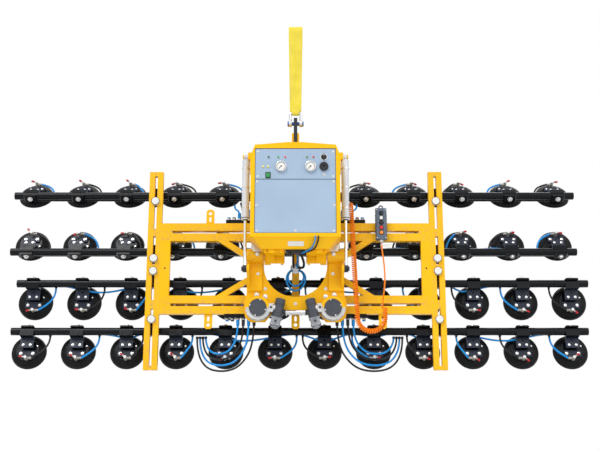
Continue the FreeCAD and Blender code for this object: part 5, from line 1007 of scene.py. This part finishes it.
# Fittings on the manifolds
nuts, blue_rings, black_rings, plugs = meshes(4)
for way in (-1, 1):
    for end, up in ((LOWER_PORT_Z, 1), (UPPER_PORT_Z, -1)):
        for i, x in enumerate(PORTS):
            at = Vector((way * x, PORT_Y, end))
            back = (0, 0, up)
            lathe(nuts, at, back, [(0.01, 0.007), (0.0128, 0.0078), (0.0128, 0.0168), (0.0112, 0.019),
                (0.008, 0.019)], 6)
            ring = blue_rings if i % 2 else black_rings
            run = 0.0012 if i > 3 else 0.03
            lathe(ring, at, back, [(0.0064, -run), (0.0088, -run), (0.0098, 0.0008 - run), (0.0108, -0.0002),
                (0.0108, 0.0052), (0.0096, 0.0062), (0.008, 0.0062)], 24)
            if i > 3:
                lathe(plugs, at, back, [(0, -0.003), (0.0052, -0.003), (0.0062, -0.002), (0.0062, 0.002)], 18)
piece("port_nuts", nuts, ZINC, "pad_frame", bevel=0.0004)
piece("port_rings_blue", blue_rings, BLUE_HOSE, "pad_frame")
piece("port_rings_black", black_rings, PLASTIC, "pad_frame")
piece("port_plugs", plugs, WHITE, "pad_frame")

# Actuators: glands and sensor bands
ACTUATOR_X = 0.306
ACTUATOR_Y = 0.02
ACTUATOR_FOOT = -1.257
glands, straps = meshes(2)
for way in (-1, 1):
    at = (way * ACTUATOR_X, ACTUATOR_Y, ACTUATOR_FOOT)
    lathe(glands, at, UP, [(0.0106, -0.004), (0.015, -0.004), (0.0165, -0.0025), (0.0165, 0.0004)], 32)
    lathe(glands, at, UP, [(0.0256, 0.008), (0.026, 0.0086), (0.026, 0.012), (0.0256, 0.0126)], 40)
    for rise in (0.07, 0.2, 0.32):
        lathe(straps, at, UP, [(0.023, rise), (0.0242, rise + 0.0006), (0.0242, rise + 0.009),
            (0.023, rise + 0.0096)], 40)
        bolt(straps, (way * (ACTUATOR_X + 0.024), ACTUATOR_Y, ACTUATOR_FOOT + rise + 0.0048), (way, 0, 0), 0.003,
            0.004)
piece("actuator_glands", glands, BLACK)
piece("actuator_straps", straps, ZINC)

# Pendant: button rings, cover screws, side grips and gland nut
PENDANT_X = 0.536
PENDANT_FACE = 0.172
PENDANT_FOOT = (PENDANT_X, 0.195, PIVOT.z + 0.119)
rings, screws, grips, gland = meshes(4)
for rise in (0.287, 0.255, 0.225, 0.193, 0.161):
    lathe(rings, (PENDANT_X, PENDANT_FACE, PIVOT.z + rise), FRONT, [(0.0146, 0), (0.0146, 0.0018), (0.0138, 0.0028),
        (0.0122, 0.0028), (0.0116, 0.002), (0.0116, 0)], 32)
for x in (-0.027, 0.027):
    for z in (0.128, 0.31):
        screw(screws, (PENDANT_X + x, PENDANT_FACE, PIVOT.z + z), FRONT, 0.0034, 0.002)
for way in (-1, 1):
    for k in range(9):
        z = PIVOT.z + 0.165 + 0.014 * k
        low, high = sorted(PENDANT_X + way * 0.035 + way * off for off in (-0.001, 0.0016))
        box(grips, (low, 0.184, z - 0.0035), (high, 0.206, z + 0.0035))
lathe(gland, PENDANT_FOOT, DOWN, [(0.0112, 0.0004), (0.015, 0.001), (0.015, 0.009), (0.0138, 0.0102),
    (0.0112, 0.0104)], 6)
lathe(gland, PENDANT_FOOT, DOWN, [(0.0113, 0.01), (0.0122, 0.0106), (0.0122, 0.016), (0.0095, 0.0202),
    (0.0046, 0.0204)], 28)
piece("pendant_rings", rings, BLACK, "pendant")
piece("pendant_screws", screws, ZINC, "pendant")
piece("pendant_grips", grips, RUBBER, "pendant", bevel=0.0008)
piece("pendant_gland_nut", gland, ZINC, "pendant", bevel=0.0004)

# Blank tag on the cord under the pendant
tag = bmesh.new()
lathe(tag, (0.5368, 0.194, -1.39), UP, [(0.0056, 0), (0.0066, 0.0008), (0.0066, 0.0212), (0.0056, 0.022)], 20)
prism(tag, [(0.541, -1.389), (0.6, -1.385), (0.602, -1.3665), (0.541, -1.369)], 0.1934, 0.1946)
piece("cord_tag", tag, WHITE, "pendant", bevel=0.0003)

# Cover on the back of the housing, with louvres and screws
cover, louvres, screws = meshes(3)
REAR = 0.13
box(cover, (-0.205, REAR - 0.0005, -1.33), (0.205, REAR + 0.0025, -0.93))
for k in range(9):
    z = -1.255 + 0.024 * k
    box(louvres, (-0.12, REAR + 0.002, z), (0.12, REAR + 0.0075, z + 0.003))
    box(louvres, (-0.122, REAR + 0.002, z + 0.003), (0.122, REAR + 0.0045, z + 0.012))
REAR_SCREWS = [(x, z) for x in (-0.192, 0, 0.192) for z in (-1.317, -0.943)]
REAR_SCREWS += [(x, z) for z in (-1.192, -1.067) for x in (-0.192, 0.192)]
for x, z in REAR_SCREWS:
    screw(screws, (x, REAR + 0.0025, z), BACK, 0.005, 0.0035)
piece("rear_cover", cover, YELLOW, bevel=0.0012)
piece("rear_louvres", louvres, DARK, bevel=0.0006)
piece("rear_screws", screws, ZINC)
